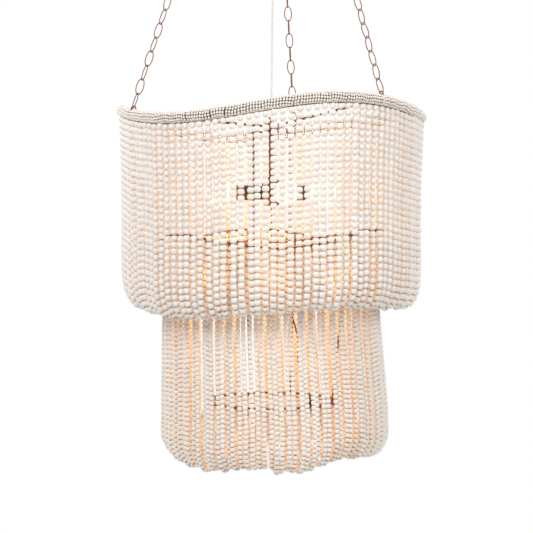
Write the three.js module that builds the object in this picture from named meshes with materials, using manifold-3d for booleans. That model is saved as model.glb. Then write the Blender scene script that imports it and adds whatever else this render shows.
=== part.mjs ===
// A two-tier beaded chandelier that hangs on three chains from a ceiling canopy.
// Millimetres, +Z up. The origin is the centre of the mounting strap's top face, against the ceiling.
// The front of the chandelier faces -Y.
import * as THREE from 'three';
import * as BufferGeometryUtils from 'three/addons/utils/BufferGeometryUtils.js';
import Module from 'manifold-3d';

const wasm = await Module();
wasm.setup();

// Driving dimensions
const seatGap = 0.35; // between two pieces that touch
const ceilingToRim = 800; // ceiling to the centre of the rim tube
const chainCount = 3;
const chainAzimuth = THREE.MathUtils.degToRad(80.5); // the back chain, counted from +X
const chainShift = THREE.MathUtils.degToRad(7.3); // of the two front chains, towards the front
const stationsPerChain = 10; // straight facets of each ring between two chains

// Rim: a metal ring, wrapped in small beads, that waves up and down
const rimRadius = 255;
const rimCoreRadius = 6;
const rimWrapRadius = 9.75; // outside of the bead wrapping, across flats
const rimWrapBore = 6.4;
const rimLeanHeight = 8.8; // the rim hangs higher on one side
const rimFoldHeight = 5.6; // two swells round it
const rimWaveHeight = 11.7; // three swells round it

// Middle ring: a flat band that carries the ends of both tiers
const midRingDrop = 206; // below the rim's centre
const seamRadius = 181.3; // where the upper strands end and the lower ones start
const seamGap = 1.15; // between the two tiers' beads
const midRingInset = 9.3; // from the seam to the band's inner edge
const midRingWidth = 21;
const midRingThickness = 3;
const midRingLeanHeight = 2.2;
const midRingFoldHeight = 2.8;
const midRingWaveHeight = 11.5;

// Lower ring: a flat band that carries the inner ends of the lower strands
const lowerRingDrop = 487;
const lowerRingRadius = 109;
const lowerRingWidth = 14;
const lowerRingThickness = 3;

// Strands: each tier is a ring of hanging swags of beads
const panelsPerTier = 6;
const strandsPerPanel = 20;
const panelGap = 0.5; // between neighbouring panels
const upperBeadRadius = 5.75;
const lowerBeadRadius = 4.5;
const upperBellyInset = 4; // of the upper tier's belly from the rim
const upperBellyDrop = 321;
const lowerBellySpread = 10.7; // of the lower tier's belly from the seam
const lowerBellyDrop = 576;

// Chains
const linksPerChain = 30;
const linkWireRadius = 1.5;
const linkHalfWidth = 6.3; // centre line
const linkWeld = 0.3; // how deep two links press into each other

// Rim collars, where the chains and spokes are fastened
const collarLength = 14;
const collarRadius = 8; // across flats
const eyeWire = 3.6;
const eyeHalfWidth = 6;
const eyeHeight = 13.8; // of the eye's bar above the rim's centre
const lugRadius = 3;
const lugLength = 9;

// Canopy and hanging gear
const strapWidth = 30;
const strapThickness = 3;
const strapScrewRadius = 2.6;
const strapScrewSpacing = 88;
const canopyRadius = 62;
const canopyWall = 1.6;
const canopyDepth = 36;
const canopyMouthRadius = 24;
const shankRadius = 4;
const shankClearance = 0.5;
const eyeNutWidth = 13; // across corners
const eyeNutHeight = 6;
const ceilingEyeRadius = 9; // centre line
const ceilingEyeWire = 3;
const ceilingEyeDrop = 36;
const swivelWire = 2.5;
const swivelLength = 22;
const topRingRadius = 16; // centre line
const topRingWire = 3;
const cordGripRadius = 4;
const cordGripLength = 24;

// Frame inside
const hubRadius = 12;
const hubHeight = 14;
const hubDrop = 16; // below the rim's centre
const rodRadius = 2.2;
const stemRadius = 5;
const stemBore = 3.2;
const capRadius = 5.5;
const capHeight = 9;
const lampDrop = 129;
const lampBodyRadius = 17;
const lampBodyHeight = 44;
const lampAzimuth = THREE.MathUtils.degToRad(-75);
const armAzimuth = THREE.MathUtils.degToRad(-108);
const lampCount = 4;
const rodTopInset = 34; // of the drop rods' tops from the middle ring
const plateDrop = 213; // of the plate that carries the arms
const plateRadius = 42;
const plateThickness = 3;
const plateBore = 6;
const barLength = 84; // the cross bar under the hub
const barWidth = 12;
const barThickness = 3;
const barClearance = 0.4; // round the stem
const barAzimuth = THREE.MathUtils.degToRad(-30);
const hangerRadius = 36; // of the two hanger rods' places from the axis

// Lamp sockets and bulbs
const socketLength = 44;
const socketRadius = 13;
const socketMouthRadius = 10.5;
const socketMouthDepth = 22;
const bulbBaseLength = 24;
const bulbRadius = 21;
const bulbLength = 76;
const bulbGap = 0.5; // between a bulb's foot and the bottom of its socket

// Leads
const cordRadius = 1.7;
const cordTopDrop = 32; // below the ceiling
const cordSetback = 12; // in front of the top ring
const leadRadius = 1.4;

// Round detail
const wireSides = 6;
const roundSides = 10;

const rimHeight = -ceilingToRim;
const midRingInner = seamRadius - midRingInset;
const upperBellyRadius = rimRadius - upperBellyInset;
const upperInnerRadius = seamRadius + seamGap / 2 + upperBeadRadius;
const lowerTopRadius = seamRadius - seamGap / 2 - lowerBeadRadius;
const lowerBellyRadius = seamRadius + lowerBellySpread;
const lowerInnerRadius = lowerRingRadius;
const stationStep = (2 * Math.PI) / (chainCount * stationsPerChain);
const chainShiftShares = [0, 1, -1];
const chainAngles = chainShiftShares.map((share, i) =>
  chainAzimuth + (i * 2 * Math.PI) / chainCount + share * chainShift);

// Each ring's swells: how many go round it, how high they are, and the angle of a crest from +X.
const swell = (count, height, crest) => ({ count, height, crest: THREE.MathUtils.degToRad(crest) });
const rim = {
  radius: rimRadius,
  height: rimHeight,
  swells: [swell(1, rimLeanHeight, -61), swell(2, rimFoldHeight, -14), swell(3, rimWaveHeight, 53)],
};
const midRing = {
  radius: midRingInner + midRingWidth / 2,
  height: rimHeight - midRingDrop,
  swells: [
    swell(1, midRingLeanHeight, 30),
    swell(2, midRingFoldHeight, -34),
    swell(3, midRingWaveHeight, -23),
  ],
};
const lowerRing = {
  radius: lowerRingRadius,
  height: rimHeight - lowerRingDrop,
  swells: [],
};

// Materials
const paint = (color, roughness, metalness, extra = {}) =>
  new THREE.MeshStandardMaterial({ color, roughness, metalness, ...extra });
const copperBrown = () => paint(0x8a5236, 0.45, 0.7);
const chainBrown = () => paint(0x8c5f50, 0.4, 0.75);
const creamBead = () => paint(0xede2d5, 0.6, 0);
const seedBead = () => paint(0xf1ebe1, 0.4, 0);
const darkSocket = () => paint(0x4a2a1c, 0.55, 0.1);
const bulbGlass = () => paint(0xffe2b0, 0.2, 0, { emissive: 0xffb45a, emissiveIntensity: 0.6 });
const clearCord = () => paint(0xd9d4cc, 0.35, 0);
const darkLead = () => paint(0x5a3524, 0.6, 0);

const model = new THREE.Group();
const addPiece = (name, geometry, material) => {
  const mesh = new THREE.Mesh(geometry, material);
  mesh.name = name;
  model.add(mesh);
  return mesh;
};

// Closed meshes from points

const meshOf = (points, triangles) => {
  const geometry = new THREE.BufferGeometry();
  geometry.setAttribute('position', new THREE.Float32BufferAttribute(points.flatMap((p) => p.toArray()), 3));
  geometry.setIndex(triangles);
  geometry.computeVertexNormals();
  return geometry;
};

// A skin over rows of points, closed along each row and from the last row to the first.
const closedSkin = (rows) => {
  const columns = rows[0].length;
  const triangles = [];
  rows.forEach((row, i) => {
    const next = (i + 1) % rows.length;
    for (let j = 0; j < columns; j += 1) {
      const side = (j + 1) % columns;
      const a = i * columns + j;
      const b = i * columns + side;
      const c = next * columns + side;
      const d = next * columns + j;
      triangles.push(a, c, b, a, d, c);
    }
  });
  return meshOf(rows.flat(), triangles);
};

// Booleans

const solidOf = (geometry) => {
  const bare = geometry.clone();
  bare.deleteAttribute('normal');
  bare.deleteAttribute('uv');
  const merged = BufferGeometryUtils.mergeVertices(bare);
  return new wasm.Manifold(
    new wasm.Mesh({
      numProp: 3,
      vertProperties: new Float32Array(merged.attributes.position.array),
      triVerts: new Uint32Array(merged.index.array),
    }),
  );
};

const geometryOf = (solid) => {
  const mesh = solid.getMesh();
  const geometry = new THREE.BufferGeometry();
  geometry.setAttribute('position', new THREE.BufferAttribute(mesh.vertProperties, mesh.numProp));
  geometry.setIndex(new THREE.BufferAttribute(mesh.triVerts, 1));
  geometry.computeVertexNormals();
  return geometry;
};

const joined = (geometries) =>
  geometryOf(geometries.map(solidOf).reduce((whole, piece) => whole.add(piece)));

// Rods and rings

const rodBetween = (from, to, radius, sides = wireSides) => {
  const along = new THREE.Vector3().subVectors(to, from);
  const geometry = new THREE.CylinderGeometry(radius, radius, along.length(), sides);
  const up = new THREE.Vector3(0, 1, 0);
  geometry.applyQuaternion(new THREE.Quaternion().setFromUnitVectors(up, along.clone().normalize()));
  geometry.translate(...new THREE.Vector3().addVectors(from, to).multiplyScalar(0.5).toArray());
  return geometry;
};

// A lathe turned about Z from [radius, height] pairs.
const turned = (profile, sides = roundSides) => {
  const geometry = new THREE.LatheGeometry(profile.map(([r, z]) => new THREE.Vector2(r, z)), sides);
  geometry.rotateX(Math.PI / 2);
  return geometry;
};

const around = (angle, radius, height) =>
  new THREE.Vector3(radius * Math.cos(angle), radius * Math.sin(angle), height);

const flatPolygon = (sides, apothem) =>
  [...Array(sides).keys()].map((i) => {
    const turn = ((i + 0.5) * 2 * Math.PI) / sides;
    const corner = apothem / Math.cos(Math.PI / sides);
    return [corner * Math.cos(turn), corner * Math.sin(turn)];
  });

const sway = (ring, angle) =>
  ring.swells.reduce((sum, { count, height, crest }) => sum + height * Math.cos(count * (angle - crest)), 0);

const stationPoint = (ring, station, out, up) => {
  const angle = chainAzimuth + station * stationStep;
  return around(angle, ring.radius + out, ring.height + up + sway(ring, angle));
};

// A point carried by a ring at any angle, on the straight facet between two stations.
const ringPoint = (ring, angle, out, up) => {
  const place = (angle - chainAzimuth) / stationStep;
  const station = Math.floor(place + 1e-9);
  const start = stationPoint(ring, station, out, up);
  return start.lerp(stationPoint(ring, station + 1, out, up), place - station);
};

const ringSection = (ring, angle, section) => section.map(([out, up]) => ringPoint(ring, angle, out, up));

const wholeRing = (ring, section) =>
  closedSkin(
    [...Array(chainCount * stationsPerChain).keys()].map((i) =>
      ringSection(ring, chainAzimuth + i * stationStep, section),
    ),
  );

// Two angles and the stations strictly between them.
const anglesBetween = (start, end) => {
  const first = Math.floor((start - chainAzimuth) / stationStep + 1e-6) + 1;
  const last = Math.ceil((end - chainAzimuth) / stationStep - 1e-6) - 1;
  const inside = [...Array(last - first + 1).keys()].map((k) => chainAzimuth + (first + k) * stationStep);
  return [start, ...inside, end];
};

// A sleeve round part of a ring, open at both ends, with a bore.
const ringSleeve = (ring, start, end, outer, inner) => {
  const angles = anglesBetween(start, end);
  return closedSkin([
    ...angles.map((angle) => ringSection(ring, angle, outer)),
    ...[...angles].reverse().map((angle) => ringSection(ring, angle, inner)),
  ]);
};

const bandSection = (width, thickness) => [
  [width / 2, thickness / 2],
  [-width / 2, thickness / 2],
  [-width / 2, -thickness / 2],
  [width / 2, -thickness / 2],
];

// Rim: core, bead wrapping and collars

addPiece('rim_core', wholeRing(rim, flatPolygon(wireSides, rimCoreRadius * Math.cos(Math.PI / wireSides))),
  copperBrown());

const collarHalfTurn = collarLength / 2 / rimRadius;
const wrapGapTurn = (collarLength / 2 + seatGap) / rimRadius;
chainAngles.forEach((start, i) => {
  const end = i + 1 < chainCount ? chainAngles[i + 1] : chainAngles[0] + 2 * Math.PI;
  addPiece(`rim_wrap_${i + 1}`,
    ringSleeve(rim, start + wrapGapTurn, end - wrapGapTurn, flatPolygon(8, rimWrapRadius),
      flatPolygon(8, rimWrapBore)),
    seedBead());
});

// The eye is an arch that stands across the rim, with the last link under its bar.
const eyeArch = () => {
  const half = eyeHalfWidth;
  const outer = half + eyeWire * 0.6;
  const foot = collarRadius * 0.45;
  const top = eyeHeight + eyeWire / 2;
  const shape = new THREE.Shape([
    new THREE.Vector2(-outer, foot),
    new THREE.Vector2(-half, foot),
    new THREE.Vector2(-half, eyeHeight - eyeWire / 2),
    new THREE.Vector2(half, eyeHeight - eyeWire / 2),
    new THREE.Vector2(half, foot),
    new THREE.Vector2(outer, foot),
    new THREE.Vector2(outer, eyeHeight - eyeWire * 0.3),
    new THREE.Vector2(half, top),
    new THREE.Vector2(-half, top),
    new THREE.Vector2(-outer, eyeHeight - eyeWire * 0.3),
  ]);
  const geometry = new THREE.ExtrudeGeometry(shape, { depth: eyeWire, bevelEnabled: false });
  geometry.translate(0, 0, -eyeWire / 2);
  geometry.rotateX(Math.PI / 2);
  return geometry;
};

const eyeBar = (angle) => ringPoint(rim, angle, 0, eyeHeight);
const lugFace = (angle) => ringPoint(rim, angle, -rimWrapBore - lugLength, 0);

chainAngles.forEach((angle, i) => {
  const sleeve = ringSleeve(rim, angle - collarHalfTurn, angle + collarHalfTurn, flatPolygon(8, collarRadius),
    flatPolygon(8, rimWrapBore));
  const arch = eyeArch();
  arch.rotateZ(angle);
  arch.translate(...ringPoint(rim, angle, 0, 0).toArray());
  const lug = rodBetween(
    ringPoint(rim, angle, -(rimWrapBore + collarRadius) / 2, 0), lugFace(angle), lugRadius);
  addPiece(`rim_collar_${i + 1}`, joined([sleeve, arch, lug]), copperBrown());
});

// Middle and lower rings

addPiece('mid_ring', wholeRing(midRing, bandSection(midRingWidth, midRingThickness)), copperBrown());
addPiece('lower_ring', wholeRing(lowerRing, bandSection(lowerRingWidth, lowerRingThickness)), copperBrown());

// Strands
// A swag is a list of stops down its centre line, each with a radius, a drop below the rim, the ring whose
// swells it follows, and its share of them. The first and last stops hang square under the rings.

const midBottomDrop = midRingDrop + midRingThickness / 2 + seatGap;
const lowerBottomDrop = lowerRingDrop + lowerRingThickness / 2 + seatGap;

const upperHeight = upperBellyDrop - rimWrapRadius;
const upperWidth = upperBellyRadius - upperInnerRadius;
const upperSwag = {
  beadRadius: upperBeadRadius,
  valleyShare: 0.15, // of the bead's radius, between two strands
  stops: [
    { ring: rim, radius: rimRadius, drop: rimWrapRadius + seatGap, swellShare: 1 },
    { ring: rim, radius: upperBellyRadius, drop: rimWrapRadius + upperHeight * 0.5, swellShare: 0.8 },
    { ring: rim, radius: upperBellyRadius, drop: rimWrapRadius + upperHeight * 0.82, swellShare: 0.65 },
    { ring: rim, radius: upperBellyRadius - upperWidth * 0.07, drop: upperBellyDrop - upperHeight * 0.06,
      swellShare: 0.6 },
    { ring: rim, radius: upperBellyRadius - upperWidth * 0.28, drop: upperBellyDrop, swellShare: 0.6 },
    { ring: rim, radius: upperBellyRadius - upperWidth * 0.6, drop: upperBellyDrop - upperHeight * 0.035,
      swellShare: 0.5 },
    { ring: midRing, radius: upperInnerRadius, drop: midBottomDrop, swellShare: 1 },
  ],
};

const lowerHeight = lowerBellyDrop - midBottomDrop;
const lowerWidth = lowerBellyRadius - lowerInnerRadius;
const lowerSwag = {
  beadRadius: lowerBeadRadius,
  valleyShare: 0.4,
  stops: [
    { ring: midRing, radius: lowerTopRadius, drop: midBottomDrop, swellShare: 1 },
    { ring: midRing, radius: (lowerTopRadius + lowerBellyRadius) / 2, drop: midBottomDrop + lowerHeight * 0.4,
      swellShare: 0.5 },
    { ring: rim, radius: lowerBellyRadius, drop: lowerBellyDrop - lowerHeight * 0.14, swellShare: 0.3 },
    { ring: rim, radius: lowerBellyRadius - lowerWidth * 0.06, drop: lowerBellyDrop - lowerHeight * 0.045,
      swellShare: 0.3 },
    { ring: rim, radius: lowerBellyRadius - lowerWidth * 0.23, drop: lowerBellyDrop, swellShare: 0.3 },
    { ring: rim, radius: lowerBellyRadius - lowerWidth * 0.56, drop: lowerBellyDrop - lowerHeight * 0.03,
      swellShare: 0.2 },
    { ring: lowerRing, radius: lowerInnerRadius, drop: lowerBottomDrop, swellShare: 1 },
  ],
};

// The way square to the swag at a stop, in radius and height, away from the hollow that it goes round.
const swagNormal = (stops, k) => {
  if (k === 0) return [1, 0];
  if (k === stops.length - 1) return [-1, 0];
  const radial = stops[k + 1].radius - stops[k - 1].radius;
  const down = stops[k + 1].drop - stops[k - 1].drop;
  const length = Math.hypot(radial, down);
  return [down / length, radial / length];
};

const swagPoint = (swag, k, angle, depth) => {
  const stop = swag.stops[k];
  const [out, up] = swagNormal(swag.stops, k);
  const carried = {
    radius: stop.radius,
    height: rimHeight - stop.drop + up * depth,
    swells: stop.ring.swells.map((each) => ({ ...each, height: each.height * stop.swellShare })),
  };
  return ringPoint(carried, angle, out * depth, 0);
};

// One panel of strands, fused side by side: ridged outside, smooth in the hollow.
const ridgeShare = 1;
const backShare = -0.75;
const backColumns = (chainCount * stationsPerChain) / panelsPerTier; // the back follows the rings' facets

const strandPanel = (swag, start, end) => {
  const rows = swag.stops.length;
  const ridges = strandsPerPanel * 2;
  const points = [];
  for (let k = 0; k < rows; k += 1) {
    for (let c = 0; c <= ridges; c += 1) {
      const share = c % 2 ? ridgeShare : swag.valleyShare;
      points.push(swagPoint(swag, k, start + ((end - start) * c) / ridges, share * swag.beadRadius));
    }
  }
  const back = points.length;
  for (let k = 0; k < rows; k += 1) {
    for (let q = 0; q <= backColumns; q += 1) {
      points.push(swagPoint(swag, k, start + ((end - start) * q) / backColumns, backShare * swag.beadRadius));
    }
  }
  const front = (k, c) => k * (ridges + 1) + c;
  const rear = (k, q) => back + k * (backColumns + 1) + q;
  const triangles = [];
  for (let k = 0; k < rows - 1; k += 1) {
    for (let c = 0; c < ridges; c += 1) {
      triangles.push(front(k, c), front(k + 1, c), front(k + 1, c + 1));
      triangles.push(front(k, c), front(k + 1, c + 1), front(k, c + 1));
    }
    for (let q = 0; q < backColumns; q += 1) {
      triangles.push(rear(k, q), rear(k + 1, q + 1), rear(k + 1, q));
      triangles.push(rear(k, q), rear(k, q + 1), rear(k + 1, q + 1));
    }
    triangles.push(front(k + 1, 0), front(k, 0), rear(k, 0), front(k + 1, 0), rear(k, 0), rear(k + 1, 0));
    const [c, q] = [ridges, backColumns];
    triangles.push(front(k, c), front(k + 1, c), rear(k + 1, q), front(k, c), rear(k + 1, q), rear(k, q));
  }
  // The two end faces, between the ridged row and the smooth row
  let q = 0;
  for (let c = 0; c <= ridges; c += 1) {
    while (q < backColumns && (q + 1) / backColumns <= (c + 0.01) / ridges) {
      triangles.push(front(0, c), rear(0, q + 1), rear(0, q));
      triangles.push(front(rows - 1, c), rear(rows - 1, q), rear(rows - 1, q + 1));
      q += 1;
    }
    if (c < ridges) {
      triangles.push(front(0, c), front(0, c + 1), rear(0, q));
      triangles.push(front(rows - 1, c + 1), front(rows - 1, c), rear(rows - 1, q));
    }
  }
  return meshOf(points, triangles);
};

const panelStep = (2 * Math.PI) / panelsPerTier;
const tiers = { upper_strands: upperSwag, lower_strands: lowerSwag };
Object.entries(tiers).forEach(([name, swag]) => {
  const narrowest = Math.min(...swag.stops.map((stop) => stop.radius));
  const edge = panelGap / 2 / narrowest;
  for (let i = 0; i < panelsPerTier; i += 1) {
    const start = chainAzimuth + i * panelStep;
    addPiece(`${name}_${i + 1}`, strandPanel(swag, start + edge, start + panelStep - edge), creamBead());
  }
});

// Canopy: strap, cover, nut under the strap, eye in the nut, and cord grip

const holeAt = (x, y, radius) => {
  const hole = new THREE.Path();
  hole.absarc(x, y, radius, 0, 2 * Math.PI, true);
  return hole;
};

const strapCorner = (canopyRadius - canopyWall) * Math.cos(Math.PI / 24) - seatGap;
const strapHalf = Math.sqrt(strapCorner ** 2 - (strapWidth / 2) ** 2);
const strapShape = new THREE.Shape([
  new THREE.Vector2(-strapHalf, -strapWidth / 2),
  new THREE.Vector2(strapHalf, -strapWidth / 2),
  new THREE.Vector2(strapHalf, strapWidth / 2),
  new THREE.Vector2(-strapHalf, strapWidth / 2),
]);
strapShape.holes.push(holeAt(strapScrewSpacing / 2, 0, strapScrewRadius));
strapShape.holes.push(holeAt(-strapScrewSpacing / 2, 0, strapScrewRadius));
const strap = new THREE.ExtrudeGeometry(
  strapShape, { depth: strapThickness, bevelEnabled: false, curveSegments: 8 });
strap.translate(0, 0, -strapThickness);
addPiece('mounting_strap', strap, paint(0x9a9a96, 0.4, 0.9));

const coverOutside = [
  [canopyRadius, 0],
  [canopyRadius, -canopyDepth * 0.38],
  [canopyRadius * 0.85, -canopyDepth * 0.76],
  [canopyRadius * 0.58, -canopyDepth * 0.95],
  [canopyMouthRadius, -canopyDepth],
];
const coverInside = [
  [canopyMouthRadius, -canopyDepth + canopyWall],
  [canopyRadius * 0.58 - canopyWall * 0.4, -canopyDepth * 0.95 + canopyWall],
  [canopyRadius * 0.85 - canopyWall, -canopyDepth * 0.76 + canopyWall],
  [canopyRadius - canopyWall, -canopyDepth * 0.38 + canopyWall * 0.5],
  [canopyRadius - canopyWall, 0],
];
addPiece(
  'canopy_cover', turned([...coverOutside, ...coverInside, coverOutside[0]].reverse(), 24), copperBrown());

const verticalTorus = (radius, wire, height) => {
  const geometry = new THREE.TorusGeometry(radius, wire, wireSides, 16);
  geometry.rotateX(Math.PI / 2);
  geometry.translate(0, 0, height);
  return geometry;
};
const shankTop = -strapThickness - seatGap;
const shank = rodBetween(new THREE.Vector3(0, 0, shankTop),
  new THREE.Vector3(0, 0, -ceilingEyeDrop + ceilingEyeRadius), shankRadius, roundSides);
addPiece('ceiling_eye', joined([shank, verticalTorus(ceilingEyeRadius, ceilingEyeWire, -ceilingEyeDrop)]),
  chainBrown());

const nutShape = new THREE.Shape(
  flatPolygon(6, (eyeNutWidth / 2) * Math.cos(Math.PI / 6)).map(([x, y]) => new THREE.Vector2(x, y)),
);
nutShape.holes.push(holeAt(0, 0, shankRadius + shankClearance));
const nut = new THREE.ExtrudeGeometry(
  nutShape, { depth: eyeNutHeight, bevelEnabled: false, curveSegments: 8 });
nut.translate(0, 0, -strapThickness - seatGap - eyeNutHeight);
addPiece('eye_nut', nut, paint(0x9a9a96, 0.4, 0.9));

const gripTop = -strapThickness - seatGap;
const grip = turned([
  [0, gripTop - cordGripLength],
  [cordGripRadius * 0.75, gripTop - cordGripLength],
  [cordGripRadius, gripTop - cordGripLength * 0.6],
  [cordGripRadius, gripTop],
  [0, gripTop],
]);
grip.translate(0, -cordSetback, 0);

// The swivel link hangs on the ceiling eye, and the top ring hangs on the swivel link.
const swivelHingeHeight = -ceilingEyeDrop - ceilingEyeRadius;
const swivelBend = ceilingEyeWire + seatGap + swivelWire;
const ringHingeHeight = swivelHingeHeight - swivelLength - swivelBend;

const swivelPath = () => {
  const bendSteps = 6;
  const path = [];
  [0, 1].forEach((end) => {
    for (let i = 0; i <= bendSteps; i += 1) {
      const turn = (i / bendSteps + end) * Math.PI;
      const middle = swivelHingeHeight - end * swivelLength;
      path.push([swivelBend * Math.cos(turn), middle + swivelBend * Math.sin(turn), turn]);
    }
  });
  return path;
};
const swivelRows = swivelPath().map(([y, z, turn]) =>
  flatPolygon(8, swivelWire * Math.cos(Math.PI / 8)).map(([out, side]) =>
    new THREE.Vector3(side, y + out * Math.cos(turn), z + out * Math.sin(turn))),
);
addPiece('swivel_link', closedSkin(swivelRows), chainBrown());

const topRingHeight = ringHingeHeight + topRingWire + seatGap + swivelWire - topRingRadius;
addPiece('top_ring', verticalTorus(topRingRadius, topRingWire, topRingHeight), chainBrown());

// Chains: each is one run of oval links from the top ring to a rim eye, every link turned a quarter.

const linkSection = [0, 1, 2].map((i) => {
  const turn = (i * 2 * Math.PI) / 3;
  return [linkWireRadius * Math.cos(turn), linkWireRadius * Math.sin(turn)];
});
const linkInset = linkWireRadius / 2; // from a link's centre line to its flat inner side
const outlineShares = [[0.55, 1], [1, 0], [0.55, -1], [-0.55, -1], [-1, 0], [-0.55, 1]];

const chainLink = (centre, along, normal, halfLength) => {
  const across = new THREE.Vector3().crossVectors(normal, along);
  const corners = outlineShares.map(([x, y]) => [x * linkHalfWidth, y * halfLength]);
  const rows = corners.map(([x, y], i) => {
    const [bx, by] = corners[(i + corners.length - 1) % corners.length];
    const [ax, ay] = corners[(i + 1) % corners.length];
    const before = new THREE.Vector2(x - bx, y - by).normalize();
    const after = new THREE.Vector2(ax - x, ay - y).normalize();
    const tangent = before.clone().add(after).normalize();
    const stretch = 1 / tangent.dot(after);
    const out = new THREE.Vector2(-tangent.y, tangent.x).multiplyScalar(-stretch);
    if (out.x * x + out.y * y < 0) out.negate();
    return linkSection.map(([o, n]) =>
      centre.clone()
        .addScaledVector(across, x + out.x * o)
        .addScaledVector(along, y + out.y * o)
        .addScaledVector(normal, n));
  });
  return closedSkin(rows);
};

const topRingTurnShares = [0, -0.21, 0.21]; // where each chain holds the top ring, from its lowest point
const eyeClearance = seatGap + eyeWire / 2 + linkWireRadius * 0.35; // the chain comes in at a slant
const ringClearance = seatGap + topRingWire + linkWireRadius * 0.45;

chainAngles.forEach((angle, i) => {
  const turn = topRingTurnShares[i] * Math.PI;
  const holdTop = new THREE.Vector3(
    topRingRadius * Math.sin(turn), 0, topRingHeight - topRingRadius * Math.cos(turn));
  const holdFoot = eyeBar(angle);
  const along = new THREE.Vector3().subVectors(holdFoot, holdTop).normalize();
  const pitch = (holdFoot.distanceTo(holdTop) + eyeClearance + ringClearance + linkWeld) / linksPerChain;
  const halfLength = (pitch + 2 * linkInset - linkWeld) / 2;
  const first = holdTop.clone().addScaledVector(along, halfLength - linkInset - ringClearance);
  const ringTangent = new THREE.Vector3(Math.cos(turn), 0, Math.sin(turn));
  const topNormal = ringTangent.addScaledVector(along, -ringTangent.dot(along)).normalize();
  const rimTangent = new THREE.Vector3(-Math.sin(angle), Math.cos(angle), 0);
  const footNormal = new THREE.Vector3().crossVectors(rimTangent, along).normalize();
  // The quarter turns leave a small twist, which the links share out.
  const quarterTurns = linksPerChain - 1;
  const reached = topNormal.clone().applyAxisAngle(along, (quarterTurns * Math.PI) / 2);
  let twist = Math.atan2(
    along.dot(new THREE.Vector3().crossVectors(reached, footNormal)), reached.dot(footNormal));
  if (twist > Math.PI / 2) twist -= Math.PI;
  if (twist < -Math.PI / 2) twist += Math.PI;
  const links = [...Array(linksPerChain).keys()].map((k) => {
    const normal = topNormal.clone().applyAxisAngle(along, (k * Math.PI) / 2 + (twist * k) / quarterTurns);
    return chainLink(first.clone().addScaledVector(along, k * pitch), along, normal, halfLength);
  });
  addPiece(`chain_${i + 1}`, joined(links), chainBrown());
});

// Stem, hub and spokes

const axisPoint = (drop) => new THREE.Vector3(0, 0, rimHeight - drop);
const hubBottomDrop = hubDrop + hubHeight / 2;
const hubTopDrop = hubDrop - hubHeight / 2;
addPiece('spider_hub', rodBetween(axisPoint(hubBottomDrop), axisPoint(hubTopDrop), hubRadius, roundSides),
  copperBrown());

const capBottom = rimHeight - hubTopDrop + seatGap;
addPiece('stem_cap', turned([
  [0, capBottom],
  [capRadius * 0.7, capBottom],
  [capRadius * 0.5, capBottom + capHeight * 0.4],
  [capRadius, capBottom + capHeight],
  [0, capBottom + capHeight],
]), copperBrown());

chainAngles.forEach((angle, i) => {
  const face = lugFace(angle);
  const middle = axisPoint(hubDrop);
  const outward = new THREE.Vector3().subVectors(face, middle).normalize();
  const from = middle.clone().addScaledVector(outward, hubRadius + seatGap);
  addPiece(`rim_spoke_${i + 1}`,
    rodBetween(from, face.clone().addScaledVector(outward, -2 * seatGap), rodRadius),
    copperBrown());
});

// The cross bar lies under the hub, round the stem, and carries the two hanger rods.
const barCorner = [barLength / 2, barWidth / 2];
const barShape = new THREE.Shape([[-1, -1], [1, -1], [1, 1], [-1, 1]].map(([x, y]) =>
  new THREE.Vector2(x * barCorner[0], y * barCorner[1])));
barShape.holes.push(holeAt(0, 0, stemRadius + barClearance));
const bar = new THREE.ExtrudeGeometry(
  barShape, { depth: barThickness, bevelEnabled: false, curveSegments: 8 });
const barBottomDrop = hubBottomDrop + seatGap + barThickness;
bar.rotateZ(barAzimuth);
bar.translate(0, 0, rimHeight - barBottomDrop);
addPiece('cross_bar', bar, copperBrown());

const lampTopDrop = lampDrop - lampBodyHeight / 2;
const lampBottomDrop = lampDrop + lampBodyHeight / 2;

const pipe = (topDrop, bottomDrop, outer, bore) =>
  turned([
    [bore, rimHeight - bottomDrop],
    [outer, rimHeight - bottomDrop],
    [outer, rimHeight - topDrop],
    [bore, rimHeight - topDrop],
    [bore, rimHeight - bottomDrop],
  ]);
addPiece('stem', pipe(hubBottomDrop + seatGap, lampTopDrop - seatGap, stemRadius, stemBore), copperBrown());

// Lamp body, sockets and bulbs

addPiece('lamp_body', turned([
  [0, rimHeight - lampBottomDrop],
  [lampBodyRadius * 0.8, rimHeight - lampBottomDrop],
  [lampBodyRadius, rimHeight - lampBottomDrop + lampBodyHeight * 0.1],
  [lampBodyRadius, rimHeight - lampTopDrop - lampBodyHeight * 0.1],
  [lampBodyRadius * 0.8, rimHeight - lampTopDrop],
  [0, rimHeight - lampTopDrop],
]), copperBrown());

// A socket and its bulb, both along +Z from the socket's foot.
const socketProfile = [
  [0, 0],
  [socketRadius * 0.8, 0],
  [socketRadius, socketLength * 0.12],
  [socketRadius, socketLength],
  [socketMouthRadius, socketLength],
  [socketMouthRadius, socketLength - socketMouthDepth],
  [0, socketLength - socketMouthDepth],
];
const bulbBaseRadius = socketMouthRadius * Math.cos(Math.PI / roundSides) - seatGap;
const bulbFoot = socketLength - socketMouthDepth + bulbGap;
const glassLength = bulbLength - bulbBaseLength;
const bulbProfile = [
  [0, bulbFoot],
  [bulbBaseRadius * 0.6, bulbFoot],
  [bulbBaseRadius, bulbFoot + bulbBaseLength * 0.2],
  [bulbBaseRadius, bulbFoot + bulbBaseLength],
  [bulbRadius * 0.72, bulbFoot + bulbBaseLength + glassLength * 0.24],
  [bulbRadius, bulbFoot + bulbBaseLength + glassLength * 0.55],
  [bulbRadius * 0.76, bulbFoot + bulbBaseLength + glassLength * 0.86],
  [0, bulbFoot + bulbLength],
];

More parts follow.
